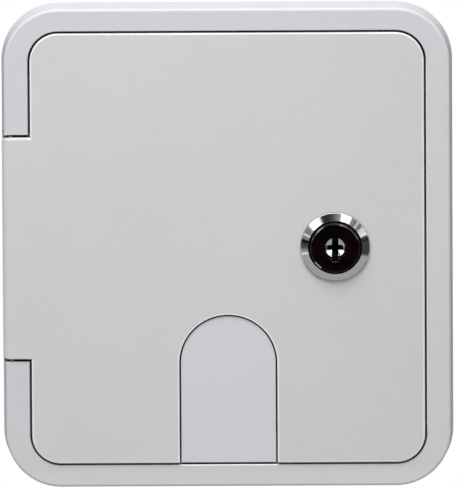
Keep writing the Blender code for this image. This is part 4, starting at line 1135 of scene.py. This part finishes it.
# ---------------------------------------------------------------------------
# lock
# ---------------------------------------------------------------------------
def build_lock():
    lx, lz = LOCK_X, LOCK_Z
    flange_back = DOOR_FACE - GAP
    body_end = 1.2
    pr = PLUG_R + GAP
    front = [
        (RING_R, flange_back, 0.08), (RING_R, -11.86, 0.30),
        (RING_IN_R + 0.20, -13.31, 0.10), (RING_IN_R, -13.18, 0.06),
        (RING_IN_R, -12.3, 0.1), (pr, -12.3, 0.05), (pr, body_end, 0.15)]
    thread = []
    y = body_end
    while y > flange_back + 0.15:
        thread.append((BARREL_THREAD_R, y))
        y -= 0.125
    back = [(BARREL_THREAD_R, flange_back + 0.1), (10.0, flange_back), (10.0, -11.8),
            (11.9, -11.8), (11.9, flange_back)]
    profile = softened(front + [(BARREL_THREAD_R - 0.4, body_end)] + back[-4:], 4)
    cut_at = next(i for i, p in enumerate(profile)
                  if abs(p[0] - (BARREL_THREAD_R - 0.4)) < 1e-6)
    profile = profile[:cut_at + 1] + thread + [(BARREL_THREAD_R, flange_back + 0.02)] \
        + profile[cut_at + 1:]
    base = thread_shape(1.0, 0.5, flange_back + 1.0, body_end + 0.6, 0.8, 1.5)

    def shape(x, y, z, r, a):
        if abs(r - BARREL_THREAD_R) > 1e-6 and abs(r - BARREL_THREAD_R + 0.4) > 1e-6:
            return (x, y, z)
        if abs(r - BARREL_THREAD_R) < 1e-6:
            x, y, z = base(x, y, z, r, a)
        return (x, y, max(-BARREL_FLAT, min(BARREL_FLAT, z)))

    body = turned("housing", profile, lx, lz, n=144, shape=shape)
    dress(body, chrome, "door", "lock_body", angle=30)
    body.data.materials.append(painted_shade_metal)
    # painted shade: the bore inside the ring and a band under the ring's lower edge get the near-black metal
    for face in body.data.polygons:
        c = face.center / MM
        away = math.hypot(c.x - lx, c.z - lz)
        if away < RING_IN_R + 0.02 and -13.13 < c.y < 1.0:
            face.material_index = 1
        elif away > 12.4 and c.z < lz - 5.5 and face.normal.y > -0.80:
            face.material_index = 1      # painted shadow under the ring's lower edge

    seal = turned("ring_seal", softened([
        (10.3, -11.1, 0.05), (11.6, -11.1, 0.05), (11.6, -11.35, 0.15),
        (11.35, -11.5, 0.15), (10.55, -11.5, 0.15), (10.3, -11.35, 0.15)]), lx, lz, n=96)
    dress(seal, seal_rubber, "door", "lock_seal")

    cap = turned("cap", softened([
        (9.4, -12.6, 0.05), (9.4, -12.95, 0.12), (9.22, -13.1, 0.1), (9.22, -14.3, 0.15),
        (9.10, -14.47, 0.1), (8.66, -14.7, 0.12), (pr + 0.22, -14.7, 0.08),
        (pr, -14.5, 0.08),
        (pr, -12.6, 0.05)], 6), lx, lz, n=144)
    half = KEYWAY_W / 2
    notch = softened([(lx - half, lz - 5.0, 0.55), (lx + half, lz - 5.0, 0.55),
                      (lx + half, lz + 5.0, 0.55), (lx - half, lz + 5.0, 0.55)], 5)
    cut(cap, prism("notch", notch, -15.5, -13.2))
    bevel_edges(cap, lambda p, d: p.y < -14.55 and abs(p.x - lx) < half + 0.05
                and pr + 0.1 < p.z - lz < 5.05, 0.12, 3)
    bevel_edges(cap, lambda p, d: p.y < -14.55 and abs(p.x - lx) < half + 0.05
                and -5.05 < p.z - lz < -pr - 0.35, 0.52, 5)
    dress(cap, black_cap, "door", "lock_face", angle=30)
    cap.data.materials.append(black_lit_copy)
    cap.data.materials.append(painted_shade_metal)
    cap.data.materials.append(plug_metal)
    for face in cap.data.polygons:
        c, n = face.center / MM, face.normal
        away = math.hypot(c.x - lx, c.z - lz)
        round_it = math.degrees(math.atan2(c.z - lz, c.x - lx)) % 360.0
        if 8.60 < away < 9.14 and c.y < -14.4 and n.y > -0.985:
            # the chamfer: painted highlight from the more reflective black above, painted shade from the
            # near-black metal below, bright metal in one place as a painted glint
            face.material_index = 1 if c.z > lz else 3 if 216 < round_it < 236 else 2
        # painted shade on the cap's side down inside the ring
        elif away > 9.05 and n.y > -0.6:
            face.material_index = 2
        # painted highlight: bright metal on the lower end of the key slot
        elif away < 5.6 and c.z < lz - 4.5 and n.z > 0.3 and -0.93 < n.y < -0.2:
            face.material_index = 3

    plug = turned("plug", softened([
        (0.0, -11.97), (3.58, -13.41, 0.06), (3.72, -13.42, 0.05), (3.8, -13.3, 0.05),
        (3.8, 1.5, 0.2), (0.0, 1.5)], 4, closed=False), lx, lz, n=72, closed=False)
    join(plug, block("tail", lx - 2.75, lx + 2.75, 0.5, 3.95, lz - 2.75, lz + 2.75))
    cut(plug, prism("keyway", [(lx - half, lz - 5.0), (lx + half, lz - 5.0),
                               (lx + half, lz + 5.0), (lx - half, lz + 5.0)],
                    -15.0, -11.4))
    arm = softened([(lx - 2.9, lz - KEYWAY_ARM, 0.45), (lx + 2.9, lz - KEYWAY_ARM, 0.45),
                    (lx + 2.9, lz + KEYWAY_ARM, 0.45), (lx - 2.9, lz + KEYWAY_ARM, 0.45)], 4)
    cut(plug, prism("keyway", arm, -15.0, -11.2))
    for w, h in ((0.9, 2.3), (2.3, 0.9)):
        cut(plug, block("keyway", lx - w, lx + w, -12.0, -2.6, lz - h, lz + h))
    for k, (dx, dz) in enumerate(((0, 1), (1, 0), (0, -1), (-1, 0))):
        start = (lx + (-5.0 if dx < 0 else 1.6 if dx > 0 else 0.0), -9.6 + 1.9 * k,
                 lz + (-5.0 if dz < 0 else 1.6 if dz > 0 else 0.0))
        cut(plug, rod("bore", "X" if dx else "Z", start, 3.4, 0.8, n=20))
    cut(plug, rod("thread", "Y", (lx, -1.6, lz), 8.0, 2.0, n=24))
    bevel_edges(plug, lambda p, d: p.y < -11.9 and math.hypot(p.x - lx, p.z - lz) < 3.7,
                0.10, 2)
    dress(plug, plug_metal, "plug", "key_plug", angle=30)
    plug.data.materials.append(painted_shade_metal)
    # painted shade: the keyway walls get the near-black metal
    for face in plug.data.polygons:
        c, n = face.center / MM, face.normal
        if math.hypot(c.x - lx, c.z - lz) > 3.66 or not -13.24 < c.y < -2.0:
            continue
        if abs(n.y) < 0.5 or (n.y < -0.5 and c.y > -11.66):
            face.material_index = 1

    # hexagon nut with its corners turned off
    nut_y0, nut_y1 = -7.2, -3.9
    hexagon = [(lx + 13.2 * math.cos(math.radians(60 * k)),
                lz + 13.2 * math.sin(math.radians(60 * k))) for k in range(6)]
    nut = prism("nut", hexagon, nut_y0, nut_y1)
    trim = turned("trim", [(0.0, nut_y0 - 0.01), (11.9, nut_y0 - 0.01),
                           (13.25, nut_y0 + 0.7), (13.25, nut_y1 - 0.7),
                           (11.9, nut_y1 + 0.01), (0.0, nut_y1 + 0.01)], lx, lz, n=96,
                  closed=False)
    boolean(nut, trim, "INTERSECT")
    br = BARREL_THREAD_R + GAP
    cut(nut, turned("bore", [(0.0, nut_y0 - 1), (br + 1.5, nut_y0 - 1),
                             (br + 0.5, nut_y0), (br, nut_y0 + 0.5),
                             (br, nut_y1 - 0.5), (br + 0.5, nut_y1),
                             (br + 1.5, nut_y1 + 1), (0.0, nut_y1 + 1)], lx, lz, n=96,
                    closed=False))
    dress(nut, zinc, "door", "lock_nut", angle=25)

    # washer with outer teeth
    teeth = 24

    def tooth(x, y, z, r, a):
        if r < 12.0:
            return (x, y, z)
        k = (a * teeth / math.tau) % 1.0
        new = r - (0.0 if 0.12 < k < 0.72 else 1.1)
        return (x * new / r, y, z * new / r)

    washer = turned("washer", softened([
        (br, -8.0, 0.08), (11.3, -8.0), (13.0, -8.0, 0.08), (13.0, -7.5, 0.08),
        (11.3, -7.5), (br, -7.5, 0.08)], 2), lx, lz, n=240, shape=tooth)
    dress(washer, steel, "door", "lock_washer")

    # cam: stamped plate with its edges rounded on both faces
    y0 = 1.8
    outline = [(lx + x, lz + z) for x, z in arc(8.0, 180, 360, 36)]
    tip = softened([(CAM_HALF_W, 2.0), (CAM_HALF_W, CAM_REACH, 2.0),
                    (-CAM_HALF_W, CAM_REACH, 2.0), (-CAM_HALF_W, 2.0)], 8)
    outline += [(lx + x, lz + z) for x, z in softened(
        [(8.0, 0.5), (8.0, 4.6, 1.0), (CAM_HALF_W, 8.0, 2.5), (CAM_HALF_W, CAM_REACH, 2.0),
         (-CAM_HALF_W, CAM_REACH, 2.0), (-CAM_HALF_W, 8.0, 2.5), (-8.0, 4.6, 1.0),
         (-8.0, 0.5)], 8)]
    cam = prism("cam_plate", outline, y0, y0 + CAM_T)
    cut(cam, prism("square", softened(
        [(lx - 3.05, lz - 3.05, 0.3), (lx + 3.05, lz - 3.05, 0.3),
         (lx + 3.05, lz + 3.05, 0.3), (lx - 3.05, lz + 3.05, 0.3)], 3), y0 - 1, y0 + CAM_T + 1))
    bevel_edges(cam, lambda p, d: abs(d.y) < 0.5, 0.28, 3)
    dress(cam, zinc, "plug", "cam")

    washer = turned("flat_washer", softened([
        (2.1, 4.25, 0.1), (5.2, 4.25, 0.2), (5.2, 4.95, 0.2), (2.1, 4.95, 0.1)], 3),
        lx, lz, n=64)
    dress(washer, steel, "plug", "cam_washer")
    screw = turned("fixing", softened([
        (0.0, -1.2), (1.5, -1.2, 0.1), (1.7, -0.9, 0.1), (1.7, 5.25, 0.1), (3.6, 5.25, 0.12),
        (3.6, 6.45, 0.5), (2.7, 7.3, 0.8), (0.0, 7.4)], 4, closed=False), lx, lz, n=64,
        closed=False)
    for w, h in ((0.5, 2.0), (2.0, 0.5)):
        cut(screw, prism("cross", softened(
            [(lx - w, lz - h, 0.2), (lx + w, lz - h, 0.2), (lx + w, lz + h, 0.2),
             (lx - w, lz + h, 0.2)], 3), 6.1, 8.5))
    dress(screw, steel, "plug", "cam_screw")

    for k in range(4):
        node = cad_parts["tumbler_pin_%d" % (k + 1)]
        node.data.materials.clear()
        node.data.materials.append(brass)


build_frame()
build_door()
build_flap()
build_flap_seal()
build_pins()
build_spring()
build_seals()
build_screws()
build_lock()


# ---------------------------------------------------------------------------
# floor, world and light
# ---------------------------------------------------------------------------
def build_floor():
    bm = bmesh.new()
    bmesh.ops.create_grid(bm, x_segments=8, y_segments=8, size=0.5)
    mesh = bpy.data.meshes.new("floor")
    bm.to_mesh(mesh)
    bm.free()
    floor = solid("floor", mesh)
    floor.location = (0.0, 0.0, -0.35)
    mat, shader, g = shader_of("floor_paint")
    place = g.add("ShaderNodeTexCoord").outputs["Object"]
    cloud = g.noise(place, 3.0, 2.0)
    g.link(g.mix(cloud, (0.90, 0.90, 0.90, 1), (0.94, 0.94, 0.94, 1)),
           shader.inputs["Base Color"])
    shader.inputs["Roughness"].default_value = 0.9
    shader.inputs["Emission Color"].default_value = (1, 1, 1, 1)
    shader.inputs["Emission Strength"].default_value = 0.62
    mesh.materials.append(mat)
    floor.visible_diffuse = False
    floor.visible_glossy = False
    floor.visible_shadow = False


def build_world():
    """White to the camera; grey room with soft boxes to everything else."""
    world = bpy.data.worlds.new("studio")
    bpy.context.scene.world = world
    world.use_nodes = True
    tree = world.node_tree
    tree.nodes.clear()
    g = Nodes(tree)
    out = g.add("ShaderNodeOutputWorld")
    back = g.add("ShaderNodeBackground")
    g.link(back.outputs[0], out.inputs["Surface"])
    parts = g.add("ShaderNodeSeparateXYZ")
    g.link(g.add("ShaderNodeTexCoord").outputs["Generated"], parts.inputs[0])
    x, y, z = parts.outputs
    azimuth = g.maths("MULTIPLY", g.maths("ARCTAN2", x, g.maths("MULTIPLY", y, -1.0)),
                      180.0 / math.pi)
    elevation = g.maths("MULTIPLY", g.maths("ARCSINE", z), 180.0 / math.pi)

    # what polished metal sees above 12 degrees: soft boxes, flags and strips,
    # listed as (azimuth, brightness)
    sweep_stops = [(-180, 0.25), (-110, 0.20), (-70, 0.12), (-56, 0.20), (-50.5, 0.28),
                   (-49.8, 0.12), (-49.0, 0.16), (-48.6, 0.50), (-47.9, 0.42),
                   (-47.4, 0.14), (-45.7, 0.15), (-45.1, 1.00), (-44.3, 3.0),
                   (-35.0, 3.0), (-33.6, 1.15),
                   (-30.6, 0.80), (-28.8, 0.10), (-26.0, 0.030), (-18.0, 0.028),
                   (-8.0, 0.060), (-1.0, 0.140), (6.0, 0.24)]
    strip_stops = [(6.0, 0.24), (10.0, 0.30), (12.6, 0.45), (15.0, 1.20), (16.0, 2.6), (21.5, 2.6), (22.5, 1.20),
                   (23.2, 0.70), (24.4, 0.75), (24.8, 1.30), (28.0, 1.25), (28.6, 0.70),
                   (29.4, 0.80), (29.9, 1.60), (32.2, 1.50), (32.8, 0.14), (35.6, 0.12),
                   (36.2, 0.55), (37.0, 0.50), (37.5, 0.08), (40.0, 0.10), (40.6, 0.55),
                   (41.2, 0.30), (42.2, 0.75), (43.2, 0.55), (43.8, 0.10), (46.4, 0.12),
                   (46.9, 0.95), (49.0, 0.75), (60.0, 0.30), (110.0, 0.20), (180.0, 0.25)]
    # and below it, to the left and right, listed as (elevation, brightness)
    left_stops = [(-90, 0.36), (-23.8, 0.37), (-22.6, 0.40), (-21.6, 0.85), (-20.0, 0.80),
                  (-18.8, 0.34), (-15.0, 0.26), (-12.5, 0.12), (-10.0, 0.065),
                  (-4.5, 0.040), (-3.0, 0.006), (0.5, 0.008), (1.6, 0.20), (3.6, 0.28),
                  (5.4, 0.10), (6.6, 0.70), (9.2, 0.75), (10.0, 0.22), (14.0, 0.20)]
    right_stops = [(-90, 0.36), (-26.5, 0.37), (-25.2, 0.22), (-23.6, 0.18), (-22.6, 0.05),
                   (-11.0, 0.050), (-4.0, 0.060), (-1.0, 0.022), (1.5, 0.030),
                   (3.0, 0.060), (5.4, 0.050), (6.2, 0.45), (8.0, 0.95), (12.5, 0.70)]

    def ramp_of(source, pairs, low, high):
        node = g.add("ShaderNodeValToRGB")
        bar = node.color_ramp
        bar.interpolation = "LINEAR"
        while len(bar.elements) > 1:
            bar.elements.remove(bar.elements[-1])
        for k, (at, value) in enumerate(pairs):
            spot = (at - low) / (high - low)
            element = bar.elements[0] if k == 0 else bar.elements.new(spot)
            element.position = spot
            v = value / 2.0
            element.color = (v, v, v, 1.0)
        g.link(g.spread(source, low, high, 0.0, 1.0, smooth=False), node.inputs[0])
        return g.maths("MULTIPLY", node.outputs[0], 2.0)

    def choose(test, when, other):
        return g.maths("ADD", g.maths("MULTIPLY", when, test),
                       g.maths("MULTIPLY", other, g.maths("SUBTRACT", 1.0, test)))

    sweep = choose(g.maths("LESS_THAN", azimuth, 6.0),
                   ramp_of(azimuth, sweep_stops, -180.0, 180.0),
                   ramp_of(azimuth, strip_stops, -180.0, 180.0))
    sides = choose(g.maths("LESS_THAN", azimuth, 0.0),
                   ramp_of(elevation, left_stops, -90.0, 90.0),
                   ramp_of(elevation, right_stops, -90.0, 90.0))
    high = g.spread(elevation, 11.0, 14.0)
    # straight ahead and just below eye height the room is dark, the ground pale
    middle = g.maths("MULTIPLY", g.spread(g.maths("ABSOLUTE", azimuth), 48.0, 40.0),
                     g.spread(elevation, 14.0, 11.0))
    pale = g.spread(elevation, -19.0, -23.0, 0.022, 0.37)
    mirror = choose(high, sweep, sides)
    mirror = choose(middle, pale, mirror)
    # two lower soft boxes that only the dished head of the plug looks into
    beside = g.maths("MULTIPLY", g.spread(g.maths("ABSOLUTE", azimuth), 14.0, 17.0),
                     g.spread(g.maths("ABSOLUTE", azimuth), 44.0, 42.0))
    beside = g.maths("MULTIPLY", beside,
                     g.maths("MULTIPLY", g.spread(elevation, 4.0, 6.0),
                             g.spread(elevation, 22.0, 20.0)))
    mirror = choose(beside, 1.6, mirror)
    # under the hatch the ground falls into shadow
    mirror = choose(g.spread(elevation, -70.0, -77.0), 0.06, mirror)
    overhead = g.spread(elevation, 50.0, 60.0)
    mirror = choose(overhead, 2.6, mirror)

    ambient = g.spread(elevation, -90.0, 90.0, 0.42, 0.60, smooth=False)

    path = g.add("ShaderNodeLightPath")
    value = g.maths("ADD", g.maths("MULTIPLY", ambient,
                                   g.maths("SUBTRACT", 1.0, path.outputs["Is Glossy Ray"])),
                    g.maths("MULTIPLY", mirror, path.outputs["Is Glossy Ray"]))
    value = g.maths("MAXIMUM", value, path.outputs["Is Camera Ray"])
    back.inputs["Color"].default_value = (1, 1, 1, 1)
    g.link(value, back.inputs["Strength"])


def area_light(name, azimuth, elevation, distance, width, height, power, target=(0, 0, 0),
               glossy=False):
    data = bpy.data.lights.new(name, "AREA")
    data.shape = "RECTANGLE"
    data.size, data.size_y = width, height
    data.energy = power
    obj = bpy.data.objects.new(name, data)
    bpy.context.scene.collection.objects.link(obj)
    a, e = math.radians(azimuth), math.radians(elevation)
    back = Vector((math.sin(a) * math.cos(e), -math.cos(a) * math.cos(e), math.sin(e)))
    obj.location = Vector(target) + back * distance
    obj.rotation_mode = "QUATERNION"
    obj.rotation_quaternion = (-back).to_track_quat("-Z", "Y")
    obj.visible_glossy = glossy
    obj.visible_camera = False
    return obj


build_floor()
build_world()
area_light("key", -12.0, 59.0, 1.35, 1.1, 0.7, 17.0)

scene = bpy.context.scene
scene.view_settings.view_transform = "Standard"
scene.view_settings.look = "None"
scene.view_settings.exposure = 0.0
scene.view_settings.gamma = 1.0
